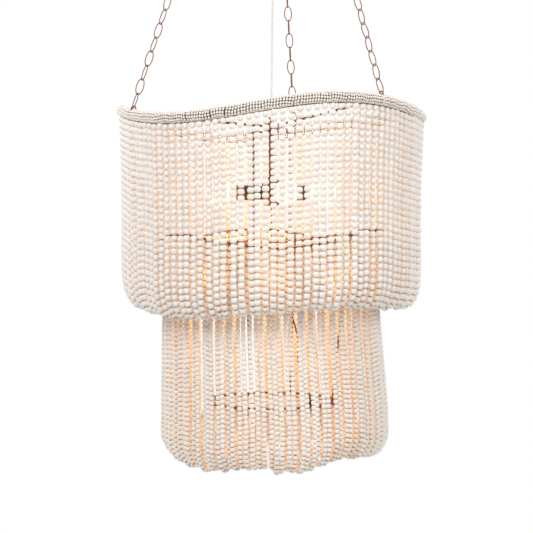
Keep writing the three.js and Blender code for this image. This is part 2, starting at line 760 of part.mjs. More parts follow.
const lampParts = (socketName, bulbName, foot, direction) => {
  const turn = new THREE.Quaternion().setFromUnitVectors(new THREE.Vector3(0, 0, 1), direction);
  const socket = addPiece(socketName, turned(socketProfile, roundSides), darkSocket());
  const bulb = addPiece(bulbName, turned(bulbProfile, roundSides), bulbGlass());
  [socket, bulb].forEach((mesh) => {
    mesh.quaternion.copy(turn);
    mesh.position.copy(foot);
  });
};

const lampAngles = [...Array(lampCount).keys()].map((i) => lampAzimuth + (i * 2 * Math.PI) / lampCount);
lampAngles.forEach((angle, i) => {
  const outward = around(angle, 1, 0);
  lampParts(`lamp_socket_${i + 1}`, `bulb_${i + 1}`,
    axisPoint(lampDrop).addScaledVector(outward, lampBodyRadius + seatGap), outward);
});

// Plate under the lamps, on two hanger rods

const plateTopDrop = plateDrop - plateThickness / 2;
addPiece('ring_plate', turned([
  [plateBore, rimHeight - plateDrop - plateThickness / 2],
  [plateRadius, rimHeight - plateDrop - plateThickness / 2],
  [plateRadius, rimHeight - plateTopDrop],
  [plateBore, rimHeight - plateTopDrop],
  [plateBore, rimHeight - plateDrop - plateThickness / 2],
], 24), copperBrown());

[0, 1].forEach((i) => {
  const place = around(barAzimuth + i * Math.PI, hangerRadius, 0);
  addPiece(`hanger_rod_${i + 1}`,
    rodBetween(axisPoint(barBottomDrop + seatGap).add(place), axisPoint(plateTopDrop - seatGap).add(place),
      rodRadius),
    copperBrown());
});

// Arms from the plate to the middle ring, and rods from the arms to the lower ring

const armAngles = [...Array(lampCount).keys()].map((i) => armAzimuth + (i * 2 * Math.PI) / lampCount);
armAngles.forEach((angle, i) => {
  const end = ringPoint(midRing, angle, -midRingWidth / 2 - 2 * seatGap, 0);
  const start = axisPoint(plateDrop);
  start.add(around(angle, plateRadius + 2 * seatGap, 0));
  addPiece(`mid_arm_${i + 1}`, rodBetween(start, end, rodRadius), copperBrown());

  const share = 1 - rodTopInset / (midRingInner - plateRadius);
  const underArm = new THREE.Vector3().lerpVectors(start, end, share);
  underArm.z -= rodRadius * 1.2 + 2 * seatGap;
  const foot = ringPoint(lowerRing, angle, 0, lowerRingThickness / 2 + 2 * seatGap);
  addPiece(`drop_rod_${i + 1}`, rodBetween(underArm, foot, rodRadius * 0.8), copperBrown());
});

// Leads

const cordSection = (radius) =>
  new THREE.Shape(flatPolygon(8, radius * Math.cos(Math.PI / 8)).map(([x, y]) => new THREE.Vector2(x, y)));

const leadAlong = (points, radius) => {
  const route = new THREE.CatmullRomCurve3(points.map((p) => new THREE.Vector3(...p)), false, 'centripetal');
  const steps = Math.ceil(route.getLength() / (6 * radius));
  return new THREE.ExtrudeGeometry(cordSection(radius), { steps, extrudePath: route, bevelEnabled: false });
};

// The pale cord hangs from the canopy to the stem's cap, in front of the top ring.
const cordFoot = capBottom + capHeight + seatGap;
addPiece('power_cord', leadAlong([
  [0, -12, -cordTopDrop],
  [0, -12, -50],
  [0, -12.2, -70],
  [0.4, -12.2, -110],
  [1.2, -11, -170],
  [2, -9.5, -240],
  [2.6, -8, -310],
  [3, -6.6, -380],
  [3, -5.2, -450],
  [2.6, -4, -520],
  [2, -2.8, -590],
  [1.2, -1.6, -660],
  [0.4, -0.5, -720],
  [0, 0, -755],
  [0, 0, cordFoot],
], cordRadius), clearCord());
addPiece('cord_grip', grip, darkSocket());

// The dark lead leaves the lamp body's foot, goes through the plate's bore and ends on the lower ring.
const leadTop = rimHeight - lampBottomDrop - seatGap;
const leadFoot = rimHeight - lowerRingDrop + lowerRingThickness / 2 + seatGap;
addPiece('lower_lead', leadAlong([
  [0, 0, leadTop],
  [0, 0, leadTop - 14],
  [0, 0, leadTop - 40],
  [0, 0, leadTop - 72],
  [1.5, -1, leadTop - 100],
  [8, -5, leadTop - 128],
  [20, -10, leadTop - 158],
  [34, -17, leadTop - 188],
  [43, -26, leadTop - 216],
  [45, -36, leadTop - 242],
  [46, -48, leadTop - 268],
  [52, -62, leadTop - 292],
  [60, -76, leadTop - 312],
  [65.4, -84.6, leadTop - 325],
  [66.2, -86.3, leadFoot + 3],
  [66.2, -86.3, leadFoot],
], leadRadius), darkLead());

export default model;
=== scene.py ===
import math

import bmesh
import bpy
import numpy as np
from mathutils import Matrix, Vector


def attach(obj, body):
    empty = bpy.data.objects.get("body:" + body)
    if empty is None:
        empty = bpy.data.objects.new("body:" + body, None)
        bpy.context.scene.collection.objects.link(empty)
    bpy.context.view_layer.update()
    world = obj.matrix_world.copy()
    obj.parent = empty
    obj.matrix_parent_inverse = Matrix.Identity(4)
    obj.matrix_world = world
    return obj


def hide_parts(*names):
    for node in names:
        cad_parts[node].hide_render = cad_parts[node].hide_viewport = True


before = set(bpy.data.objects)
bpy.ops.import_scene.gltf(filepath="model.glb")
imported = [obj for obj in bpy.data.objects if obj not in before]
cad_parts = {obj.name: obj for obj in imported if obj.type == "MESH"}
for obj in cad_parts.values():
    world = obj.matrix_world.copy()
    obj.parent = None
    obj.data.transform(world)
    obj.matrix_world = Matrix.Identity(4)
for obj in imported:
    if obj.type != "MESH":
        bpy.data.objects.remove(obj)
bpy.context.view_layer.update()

# A two-tier beaded chandelier. Metres, +Z up, origin on the ceiling, front towards -Y.

PIECE_SEED = 41

# Driving sizes, the same as the solids'
FULL_TURN = 2 * math.pi
UP = Vector((0, 0, 1))
CHAIN_COUNT = 3
CHAIN_AZIMUTH = math.radians(80.5)
CHAIN_SHIFT = math.radians(7.3)
CHAIN_SHIFT_SHARES = [0, 1, -1]

# Each ring's swells: how many go round it, how high they are, and the angle of a crest in degrees
RIM = {"radius": 0.255, "height": -0.8, "swells": [(1, 0.0088, -61), (2, 0.0056, -14), (3, 0.0117, 53)]}
MID_RING = {
    "radius": 0.1825,
    "height": -1.006,
    "swells": [(1, 0.0022, 30), (2, 0.0028, -34), (3, 0.0115, -23)],
}
LOWER_RING = {"radius": 0.109, "height": -1.287, "swells": []}
WRAP_RADIUS = 0.00975
RING_THICKNESS = 0.003
SEAT_GAP = 0.00035
PANELS = 6
STRANDS_PER_PANEL = 20
STRANDS = PANELS * STRANDS_PER_PANEL


# Camera

CAMERA_PLACE = (0.0, -2.58, -0.955)
CAMERA_TILT_DOWN = math.radians(2.235)
CAMERA_TURN_LEFT = math.radians(0.19)
CAMERA_LENS = 101.3
CAMERA_SENSOR = 36


def add_camera():
    """A long lens, a little below the rim, as the photograph was taken."""
    camera = bpy.data.objects.new("camera", bpy.data.cameras.new("camera"))
    bpy.context.collection.objects.link(camera)
    camera.location = CAMERA_PLACE
    camera.rotation_euler = (math.pi / 2 - CAMERA_TILT_DOWN, 0, CAMERA_TURN_LEFT)
    camera.data.lens = CAMERA_LENS
    camera.data.sensor_width = CAMERA_SENSOR
    bpy.context.scene.camera = camera


add_camera()


# Node tools for the finishes

def node(tree, kind, inputs=None, **settings):
    """A new node with its settings, and its sockets filled with values or linked to other sockets."""
    made = tree.nodes.new(kind)
    for name, value in settings.items():
        setattr(made, name, value)
    for name, value in (inputs or {}).items():
        socket = made.inputs[name]
        if isinstance(value, bpy.types.NodeSocket):
            tree.links.new(value, socket)
        elif socket.type == "RGBA" and len(value) == 3:
            socket.default_value = (*value, 1)
        else:
            socket.default_value = value
    return made


def effect(name, inputs, outputs):
    """A node group with named sockets. Returns the tree, its input node and its output node."""
    tree = bpy.data.node_groups.new(name, "ShaderNodeTree")
    for title, kind, value in inputs:
        made = tree.interface.new_socket(name=title, in_out="INPUT", socket_type=kind)
        made.default_value = value
    for title, kind in outputs:
        tree.interface.new_socket(name=title, in_out="OUTPUT", socket_type=kind)
    return tree, tree.nodes.new("NodeGroupInput"), tree.nodes.new("NodeGroupOutput")


def place_effect(tree, group, inputs):
    """The effect as a node of this material, with its own values."""
    return node(tree, "ShaderNodeGroup", inputs, node_tree=group)


def srgb(red, green, blue):
    """A colour given from 0 to 255, as the renderer's linear values."""
    def linear(value):
        share = value / 255
        return share / 12.92 if share <= 0.04045 else ((share + 0.055) / 1.055) ** 2.4
    return (linear(red), linear(green), linear(blue))


COLOUR = "NodeSocketColor"
NUMBER = "NodeSocketFloat"


def make_speckle_effect():
    """Two tones that drift into each other, with a fine grain on top."""
    tree, start, end = effect(
        "drifting_tone",
        [("Light", COLOUR, (1, 1, 1, 1)), ("Dark", COLOUR, (0, 0, 0, 1)), ("Patch Scale", NUMBER, 40.0),
         ("Grain Scale", NUMBER, 600.0), ("Patch Amount", NUMBER, 0.6), ("Grain Amount", NUMBER, 0.2)],
        [("Colour", COLOUR), ("Mask", NUMBER), ("Height", NUMBER)],
    )
    spot = node(tree, "ShaderNodeTexCoord").outputs["Object"]
    patch = node(tree, "ShaderNodeTexNoise",
                 {"Vector": spot, "Scale": start.outputs["Patch Scale"], "Detail": 3.0, "Roughness": 0.6})
    grain = node(tree, "ShaderNodeTexNoise",
                 {"Vector": spot, "Scale": start.outputs["Grain Scale"], "Detail": 2.0, "Roughness": 0.5})
    sharp = node(tree, "ShaderNodeMapRange",
                 {"Value": patch.outputs["Fac"], "From Min": 0.38, "From Max": 0.62})
    patches = node(tree, "ShaderNodeMath",
                   {0: sharp.outputs["Result"], 1: start.outputs["Patch Amount"]}, operation="MULTIPLY")
    grains = node(tree, "ShaderNodeMath",
                  {0: grain.outputs["Fac"], 1: start.outputs["Grain Amount"]}, operation="MULTIPLY")
    mask = node(tree, "ShaderNodeMath", {0: patches.outputs[0], 1: grains.outputs[0]},
                operation="ADD", use_clamp=True)
    colour = node(tree, "ShaderNodeMix",
                  {"Factor": mask.outputs[0], 6: start.outputs["Light"], 7: start.outputs["Dark"]},
                  data_type="RGBA")
    tree.links.new(colour.outputs[2], end.inputs["Colour"])
    tree.links.new(mask.outputs[0], end.inputs["Mask"])
    tree.links.new(grain.outputs["Fac"], end.inputs["Height"])
    return tree


# A bead's tone is its paint's up to the first of these, and from the second on its ends are bare wood mixed
# with painted warm glow, the bulbs' light between beads painted on
WOOD_AND_GLOW_STARTS = 1.0
WOOD_AND_GLOW_FULLY = 1.4
GRAIN_TONE = 0.15


def make_bead_effect():
    """The tone that each bead was painted, kept on its mesh, and its ends in bare wood with painted warm
    glow of the bulbs' light between beads.
    """
    tree, start, end = effect(
        "bead_tone",
        [("Light", COLOUR, (1, 1, 1, 1)), ("Warm", COLOUR, (1, 1, 1, 1)), ("Wood And Glow Ends", COLOUR, (1, 1, 1, 1)),
         ("Grain Scale", NUMBER, 900.0)],
        [("Colour", COLOUR), ("Roughness", NUMBER), ("Height", NUMBER)],
    )
    tone = node(tree, "ShaderNodeAttribute", attribute_name="tone").outputs["Fac"]
    spot = node(tree, "ShaderNodeTexCoord").outputs["Object"]
    grain = node(tree, "ShaderNodeTexNoise",
                 {"Vector": spot, "Scale": start.outputs["Grain Scale"], "Detail": 2.0})
    faint = node(tree, "ShaderNodeMapRange",
                 {"Value": grain.outputs["Fac"], "To Min": -GRAIN_TONE, "To Max": GRAIN_TONE})
    mask = node(tree, "ShaderNodeMath", {0: tone, 1: faint.outputs["Result"]},
                operation="ADD", use_clamp=True)
    colour = node(tree, "ShaderNodeMix",
                  {"Factor": mask.outputs[0], 6: start.outputs["Light"], 7: start.outputs["Warm"]},
                  data_type="RGBA")
    rough = node(tree, "ShaderNodeMapRange", {"Value": grain.outputs["Fac"], "To Min": 0.42, "To Max": 0.62})
    wood_and_glow_share = node(tree, "ShaderNodeMapRange", {"Value": tone, "From Min": WOOD_AND_GLOW_STARTS, "From Max": WOOD_AND_GLOW_FULLY})
    colour = node(tree, "ShaderNodeMix",
                  {"Factor": wood_and_glow_share.outputs["Result"], 6: colour.outputs[2], 7: start.outputs["Wood And Glow Ends"]},
                  data_type="RGBA")
    tree.links.new(colour.outputs[2], end.inputs["Colour"])
    tree.links.new(rough.outputs["Result"], end.inputs["Roughness"])
    tree.links.new(grain.outputs["Fac"], end.inputs["Height"])
    return tree


DRIFTING_TONE = make_speckle_effect()
BEAD_TONE = make_bead_effect()


def bare_material(name):
    """A new material, its tree and its shader."""
    material = bpy.data.materials.new(name)
    material.use_nodes = True
    return material, material.node_tree, material.node_tree.nodes["Principled BSDF"]


def bump(tree, shader, height, strength, distance):
    """Raises the surface a little by the height."""
    made = node(tree, "ShaderNodeBump", {"Height": height, "Strength": strength, "Distance": distance})
    tree.links.new(made.outputs["Normal"], shader.inputs["Normal"])


def bead_finish(name, light, warm, ends, grain_scale, coat):
    """Painted wooden beads with a soft shine."""
    material, tree, shader = bare_material(name)
    # The ends' colour is bare wood with painted glow of the bulbs' warm light
    tone = place_effect(tree, BEAD_TONE,
                        {"Light": light, "Warm": warm, "Wood And Glow Ends": ends, "Grain Scale": grain_scale})
    tree.links.new(tone.outputs["Colour"], shader.inputs["Base Color"])
    tree.links.new(tone.outputs["Roughness"], shader.inputs["Roughness"])
    shader.inputs["Coat Weight"].default_value = coat
    shader.inputs["Coat Roughness"].default_value = 0.35
    bump(tree, shader, tone.outputs["Height"], 0.15, 0.0003)
    return material


def metal_finish(name, light, dark, metallic, rough_range, patch_scale):
    """Metal or metallic paint whose colour and shine drift, with rubbed patches."""
    material, tree, shader = bare_material(name)
    tone = place_effect(tree, DRIFTING_TONE, {"Light": light, "Dark": dark, "Patch Scale": patch_scale})
    rough = node(tree, "ShaderNodeMapRange",
                 {"Value": tone.outputs["Mask"], "To Min": rough_range[0], "To Max": rough_range[1]})
    tree.links.new(tone.outputs["Colour"], shader.inputs["Base Color"])
    tree.links.new(rough.outputs["Result"], shader.inputs["Roughness"])
    shader.inputs["Metallic"].default_value = metallic
    bump(tree, shader, tone.outputs["Height"], 0.2, 0.0002)
    return material


def moulded_finish(name, light, dark, roughness, patch_amount):
    """Moulded plastic or rubber with a fine grain."""
    material, tree, shader = bare_material(name)
    tone = place_effect(tree, DRIFTING_TONE,
                        {"Light": light, "Dark": dark, "Patch Amount": patch_amount, "Grain Scale": 1500.0})
    tree.links.new(tone.outputs["Colour"], shader.inputs["Base Color"])
    shader.inputs["Roughness"].default_value = roughness
    bump(tree, shader, tone.outputs["Height"], 0.2, 0.0002)
    return material


def glowing_glass():
    """Frosted bulb glass, lit from inside, a little uneven."""
    material, tree, shader = bare_material("frosted_bulb_glass")
    tone = place_effect(tree, DRIFTING_TONE,
                        {"Light": srgb(255, 252, 244), "Dark": srgb(255, 246, 228), "Patch Scale": 60.0})
    tree.links.new(tone.outputs["Colour"], shader.inputs["Emission Color"])
    shader.inputs["Base Color"].default_value = (*srgb(128, 126, 122), 1)
    shader.inputs["Emission Strength"].default_value = 0.85
    shader.inputs["Roughness"].default_value = 0.25
    return material


def braided_finish():
    """Brown textile sleeve: two sets of strands that cross."""
    material, tree, shader = bare_material("brown_braided_lead")
    spot = node(tree, "ShaderNodeTexCoord").outputs["Object"]
    weave, cross = (node(tree, "ShaderNodeTexWave", {"Vector": spot, "Scale": 300.0, "Distortion": 1.5},
                         wave_type="BANDS", bands_direction=way) for way in ("DIAGONAL", "Z"))
    height = node(tree, "ShaderNodeMath", {0: weave.outputs["Fac"], 1: cross.outputs["Fac"]},
                  operation="MULTIPLY")
    colour = node(tree, "ShaderNodeMix",
                  {"Factor": height.outputs[0], 6: srgb(58, 30, 18), 7: srgb(122, 74, 48)}, data_type="RGBA")
    tree.links.new(colour.outputs[2], shader.inputs["Base Color"])
    shader.inputs["Roughness"].default_value = 0.75
    bump(tree, shader, height.outputs[0], 0.4, 0.0004)
    return material


# Bead ends: bare wood and painted glow of the bulbs' warm light in the gaps, a deeper orange for the lower
# tier
BARE_WOOD_AND_PAINTED_GLOW = srgb(225, 188, 145)
SMALL_BARE_WOOD_AND_PAINTED_GLOW = srgb(208, 156, 104)
UPPER_BEADS = bead_finish("upper_bead_paint", srgb(254, 252, 249), srgb(247, 241, 233), BARE_WOOD_AND_PAINTED_GLOW,
                          grain_scale=700.0, coat=0.15)
LOWER_BEADS = bead_finish("lower_bead_paint", srgb(253, 251, 247), srgb(246, 238, 228), SMALL_BARE_WOOD_AND_PAINTED_GLOW,
                          grain_scale=900.0, coat=0.15)
SEED_BEADS = bead_finish("seed_bead_glass", srgb(255, 250, 242), srgb(252, 242, 230), BARE_WOOD_AND_PAINTED_GLOW,
                         grain_scale=2500.0, coat=0.5)
STRING = moulded_finish("waxed_string", srgb(214, 190, 158), srgb(180, 150, 115),
                        roughness=0.8, patch_amount=0.4)
FRAME_PAINT = metal_finish("copper_brown_frame", srgb(138, 88, 58), srgb(80, 50, 33),
                           metallic=0.45, rough_range=(0.38, 0.6), patch_scale=35.0)
DARK_CORE = metal_finish("dark_rim_core", srgb(112, 84, 68), srgb(78, 56, 46),
                         metallic=0.2, rough_range=(0.5, 0.7), patch_scale=60.0)
CHAIN_METAL = metal_finish("aged_copper_chain", srgb(146, 98, 70), srgb(98, 60, 42),
                           metallic=0.45, rough_range=(0.4, 0.6), patch_scale=90.0)
CANOPY_PAINT = metal_finish("copper_brown_canopy", srgb(150, 88, 56), srgb(112, 62, 40),
                            metallic=0.6, rough_range=(0.3, 0.45), patch_scale=18.0)
GALVANISED = metal_finish("galvanised_steel", srgb(190, 192, 194), srgb(138, 142, 148),
                          metallic=0.85, rough_range=(0.35, 0.55), patch_scale=120.0)
BRASS = metal_finish("brass_screw_shell", srgb(206, 160, 88), srgb(160, 112, 56),
                     metallic=0.9, rough_range=(0.25, 0.45), patch_scale=150.0)
SOCKET_PLASTIC = moulded_finish("dark_brown_socket", srgb(82, 46, 30), srgb(50, 26, 16),
                                roughness=0.45, patch_amount=0.5)
PALE_CORD = moulded_finish("pale_clear_cord", srgb(240, 239, 236), srgb(229, 227, 222),
                           roughness=0.3, patch_amount=0.5)
BULB_GLASS = glowing_glass()
BROWN_LEAD = braided_finish()


# Tools for making pieces

def clear_selection():
    """Nothing selected and nothing in edit mode."""
    if bpy.context.object and bpy.context.object.mode != "OBJECT":
        bpy.ops.object.mode_set(mode="OBJECT")
    bpy.ops.object.select_all(action="DESELECT")


def hold(piece):
    """Only this piece is selected and active."""
    clear_selection()
    piece.select_set(True)
    bpy.context.view_layer.objects.active = piece


def edit():
    """Into edit mode, with all of the piece selected."""
    bpy.ops.object.mode_set(mode="EDIT")
    bpy.ops.mesh.select_all(action="SELECT")


def close_and_face_out():
    """Closes what is open, joins doubled corners and turns the faces outwards."""
    bpy.ops.mesh.select_all(action="SELECT")
    bpy.ops.mesh.remove_doubles(threshold=0.000005)
    bpy.ops.mesh.select_all(action="DESELECT")
    bpy.ops.mesh.select_non_manifold()
    bpy.ops.mesh.fill_holes(sides=0)
    bpy.ops.mesh.select_all(action="SELECT")
    bpy.ops.mesh.normals_make_consistent(inside=False)
    bpy.ops.object.mode_set(mode="OBJECT")


def place(piece, matrix=None):
    """Turns and moves the piece, then puts its place into its mesh."""
    hold(piece)
    if matrix is not None:
        piece.matrix_world = matrix @ piece.matrix_world
    bpy.ops.object.transform_apply(location=True, rotation=True, scale=True)
    return piece


SMOOTH_ANGLE = math.radians(38)


def dress(piece, name, body, nodes, slot, *materials):
    """Names and finishes a piece, and says what it rides on and what it stands for."""
    hold(piece)
    piece.name = name
    piece.data.name = name
    if materials:
        piece.data.materials.clear()
        for material in materials:
            piece.data.materials.append(material)
    bpy.ops.object.shade_smooth_by_angle(angle=SMOOTH_ANGLE)
    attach(piece, body)
    if nodes:
        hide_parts(*nodes)
    return piece


def dress_frame(piece, name, *nodes):
    """A painted metal piece of the chandelier's frame."""
    return dress(piece, name, "chandelier", nodes, "frame_metal", FRAME_PAINT)


BEVEL_ANGLE = math.radians(50)


def apply_bevel(piece, width):
    """Rounds the sharp edges, as filing or moulding leaves them."""
    hold(piece)
    modifier = piece.modifiers.new("rounded_edges", "BEVEL")
    modifier.width = width
    modifier.segments = 2
    modifier.limit_method = "ANGLE"
    modifier.angle_limit = BEVEL_ANGLE
    bpy.ops.object.modifier_apply(modifier=modifier.name)


def pull_ring(radius, height, old_radius, old_height):
    """Pulls the selected ring on to the next stop of a turned piece."""
    bpy.ops.mesh.extrude_region_move(TRANSFORM_OT_translate={"value": (0, 0, height - old_height)})
    if radius == 0:
        bpy.ops.mesh.merge(type="CENTER")
    else:
        share = radius / old_radius
        bpy.ops.transform.resize(value=(share, share, 1), center_override=(0, 0, height))


def lifted(foot, profile):
    """A profile measured from a piece's foot, at the height where that foot stands."""
    return [(radius, foot + height) for radius, height in profile]


def turned(profile, sides):
    """A round piece about Z, drawn as one ring and pulled through stops of radius and height."""
    starts_closed = profile[0][0] == 0
    stops = profile[1:] if starts_closed else profile
    clear_selection()
    radius, height = stops[0]
    bpy.ops.mesh.primitive_circle_add(vertices=sides, radius=radius, location=(0, 0, height))
    piece = bpy.context.object
    edit()
    for next_radius, next_height in stops[1:]:
        pull_ring(next_radius, next_height, radius, height)
        radius, height = next_radius, next_height
    if starts_closed:
        bpy.ops.mesh.select_all(action="DESELECT")
        bpy.ops.mesh.select_non_manifold()
        pull_ring(0, profile[0][1], stops[0][0], stops[0][1])
    close_and_face_out()
    return place(piece)


def turn_to(direction, foot=(0, 0, 0)):
    """Takes +Z to this direction, with the piece's foot here."""
    turn = Vector(direction).to_track_quat("Z", "Y").to_matrix().to_4x4()
    return Matrix.Translation(Vector(foot)) @ turn


def copy_of(piece, matrix):
    """A copy with a mesh of its own, put in its place."""
    copy = piece.copy()
    copy.data = piece.data.copy()
    copy.data.transform(matrix)
    bpy.context.collection.objects.link(copy)
    return copy


def remove(piece):
    """Takes a model away once its copies are made."""
    bpy.data.objects.remove(piece, do_unlink=True)


def wire_loop(half_width, half_length, wire, centre):
    """An oval of round wire in the XZ plane.

    The scale of the oval is applied to its wire too, which comes out at 0.58 of the radius given here.
    """
    clear_selection()
    bpy.ops.curve.primitive_bezier_circle_add(radius=1, location=(0, 0, 0), rotation=(math.pi / 2, 0, 0))
    loop = bpy.context.object
    loop.scale = (half_width, half_length, 1)
    bpy.ops.object.transform_apply(location=True, rotation=True, scale=True)
    loop.data.bevel_depth = wire
    loop.data.bevel_resolution = 2
    loop.data.resolution_u = 7
    bpy.ops.object.convert(target="MESH")
    loop = bpy.context.object
    edit()
    close_and_face_out()
    return place(loop, Matrix.Translation(Vector(centre)))


def bent_wire(points, wire, closed=False):
    """Round wire or lead bent through these points."""
    clear_selection()
    bpy.ops.curve.primitive_bezier_curve_add()
    bent = bpy.context.object
    bent.data.splines.clear()
    spline = bent.data.splines.new("BEZIER")
    spline.bezier_points.add(len(points) - 1)
    for knot, point in zip(spline.bezier_points, points):
        knot.co = point
        knot.handle_left_type = "AUTO"
        knot.handle_right_type = "AUTO"
    spline.use_cyclic_u = closed
    bent.data.bevel_depth = wire
    bent.data.bevel_resolution = 3
    bent.data.resolution_u = 6
    bent.data.use_fill_caps = True
    return bent


def as_mesh(curve):
    """A bent wire turned into a closed mesh."""
    hold(curve)
    bpy.ops.object.convert(target="MESH")
    piece = bpy.context.object
    edit()
    close_and_face_out()
    return piece


ROD_SIDES = 14
WELD_LENGTH_SHARE = 0.45
WELD_RADIUS_SHARE = 1.25
ROD_END_SHARE = 0.8


def rod(start, end, radius, name):
    """A cut length of round rod with a bead of weld at each end."""
    start, end = Vector(start), Vector(end)
    length = (end - start).length
    weld = min(radius * WELD_LENGTH_SHARE, length * 0.1)
    end_radius, bead = radius * ROD_END_SHARE, radius * WELD_RADIUS_SHARE
    profile = [
        (0, 0), (end_radius, 0), (bead, weld * 0.6), (bead, weld * 1.6), (radius, weld * 2.6),
        (radius, length - weld * 2.6), (bead, length - weld * 1.6), (bead, length - weld * 0.6),
        (end_radius, length), (0, length),
    ]
    piece = turned(profile, ROD_SIDES)
    place(piece, turn_to(end - start, start))
    return dress_frame(piece, name + "_rod", name)


# Ring geometry

def sway(ring, angle):
    """How far a ring's swells lift it at this angle."""
    return sum(height * math.cos(count * (angle - math.radians(crest)))
               for count, height, crest in ring["swells"])


def ring_point(ring, angle, out=0.0, up=0.0):
    """A place on the ring's centre line, or this far out from it and above it."""
    radius = ring["radius"] + out
    height = ring["height"] + up + sway(ring, angle)
    return Vector((radius * math.cos(angle), radius * math.sin(angle), height))


def bend_to_ring(piece, ring):
    """Lifts a flat ring's points on to the ring's swells."""
    for vertex in piece.data.vertices:
        vertex.co.z += sway(ring, math.atan2(vertex.co.y, vertex.co.x))


# Power cord, first of all pieces: the same route as its solid

CORD_RADIUS = 0.0017
CORD_ROUTE = [
    (0, -0.012, -0.032), (0, -0.012, -0.05), (0, -0.0122, -0.07), (0.0004, -0.0122, -0.11),
    (0.0012, -0.011, -0.17), (0.002, -0.0095, -0.24), (0.0026, -0.008, -0.31), (0.003, -0.0066, -0.38),
    (0.003, -0.0052, -0.45), (0.0026, -0.004, -0.52), (0.002, -0.0028, -0.59), (0.0012, -0.0016, -0.66),
    (0.0004, -0.0005, -0.72), (0, 0, -0.755), (0, 0, -0.7993),
]


def make_power_cord():
    """The pale cord that drops from the canopy to the stem's cap."""
    cord = bent_wire(CORD_ROUTE, CORD_RADIUS)
    cord.name = "power_cord_pale"
    cord.data.name = "power_cord_pale"
    cord.data.materials.append(PALE_CORD)
    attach(cord, "chandelier")
    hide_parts("power_cord")


make_power_cord()


# Bead strands

STRING_RADIUS = 0.0005
STRING_SIDES = 3
PLAIN_TONE = 0.5
FIRST_BEAD_SLACK = 0.0014
STEPS_PER_STOP = 40
# Past this share of its half height, a bead's ends take the colour of bare wood with painted glow
WOOD_AND_GLOW_END_SHARE = 0.7
PAINT_TONE_SHARE = 0.8
STRAND_TONE_SPREAD = 0.35
BEAD_TONE_SPREAD = 0.4
BEAD_SIZE_SHARES = (0.97, 1.02)
# Each band of a bead's half height, from and to a share of it, and how that band is resized
BEAD_BANDS = [
    (0.4, 0.6, (1.03, 1.03, 1)),
    (0.8, 0.9, (1.2, 1.2, 1)),
    (0.98, 1.1, (1, 1, 0.78)),
]


def model_bead(radius, half_height):
    """One bead: a round barrel, its ends pressed flat and its string hole sunk in."""
    clear_selection()
    bpy.ops.mesh.primitive_uv_sphere_add(segments=8, ring_count=6, radius=radius)
    bead = bpy.context.object
    edit()
    bpy.ops.transform.resize(value=(1, 1, half_height / radius), center_override=(0, 0, 0))
    bpy.ops.mesh.select_all(action="DESELECT")
    mesh = bmesh.from_edit_mesh(bead.data)
    for low, high, size in BEAD_BANDS:
        for vertex in mesh.verts:
            vertex.select = half_height * low < abs(vertex.co.z) < half_height * high
        mesh.select_flush(True)
        bmesh.update_edit_mesh(bead.data)
        bpy.ops.transform.resize(value=size, center_override=(0, 0, 0))
    bpy.ops.object.mode_set(mode="OBJECT")
    return bead


def shape_of(piece):
    """The piece's corners and faces, for many copies in one mesh."""
    corners = np.array([vertex.co for vertex in piece.data.vertices])
    faces = [list(face.vertices) for face in piece.data.polygons]
    remove(piece)
    return corners, faces


def many_copies(name, shapes):
    """One mesh of many placed copies, each given as its corners, faces, material and tone."""
    points, faces, tones, finishes = [], [], [], []
    first = 0
    for corners, shape_faces, finish, tone in shapes:
        points.append(corners)
        faces.extend([[first + corner for corner in face] for face in shape_faces])
        finishes.extend([finish] * len(shape_faces))
        tones.append(np.broadcast_to(tone, len(corners)))
        first += len(corners)
    mesh = bpy.data.meshes.new(name)
    mesh.from_pydata(np.concatenate(points).tolist(), [], faces)
    mesh.polygons.foreach_set("material_index", finishes)
    tone_layer = mesh.attributes.new("tone", "FLOAT", "POINT")
    tone_layer.data.foreach_set("value", np.concatenate(tones).astype(np.float32))
    piece = bpy.data.objects.new(name, mesh)
    bpy.context.collection.objects.link(piece)
    return piece


def axes_along(tangents, outward):
    """For each tangent, the three axes of a bead threaded on it."""
    side = np.cross(outward, tangents)
    side /= np.linalg.norm(side, axis=1, keepdims=True)
    front = np.cross(tangents, side)
    return np.stack([side, front, tangents], axis=2)


def thread_tube(points):
    """The string through a strand's beads."""
    sides = STRING_SIDES
    tangents = np.gradient(points, axis=0)
    tangents /= np.linalg.norm(tangents, axis=1, keepdims=True)
    outward = np.tile(points[0] * [1, 1, 0] / np.linalg.norm(points[0][:2]), (len(points), 1))
    axes = axes_along(tangents, outward)
    turns = np.arange(sides) * FULL_TURN / sides
    ring = np.stack([np.cos(turns), np.sin(turns), 0 * turns], axis=1) * STRING_RADIUS
    corners = (points[:, None, :] + np.einsum("nij,sj->nsi", axes, ring)).reshape(-1, 3)
    faces = []
    for row in range(len(points) - 1):
        for side in range(sides):
            a = row * sides + side
            b = row * sides + (side + 1) % sides
            faces.append([a, b, b + sides, a + sides])
    faces.append(list(range(sides))[::-1])
    faces.append([(len(points) - 1) * sides + side for side in range(sides)])
    return corners, faces


def smooth_stops(stops):
    """A smooth line through the stops' values."""
    stops = np.array(stops, float)
    padded = np.vstack([2 * stops[0] - stops[1], stops, 2 * stops[-1] - stops[-2]])
    line = []
    for k in range(1, len(padded) - 2):
        a, b, c, d = padded[k - 1:k + 3]
        shares = np.linspace(0, 1, STEPS_PER_STOP, endpoint=False)[:, None]
        line.append(0.5 * (2 * b + (c - a) * shares + (2 * a - 5 * b + 4 * c - d) * shares ** 2
                           + (3 * b - a - 3 * c + d) * shares ** 3))
    return np.vstack([*line, stops[-1:]])


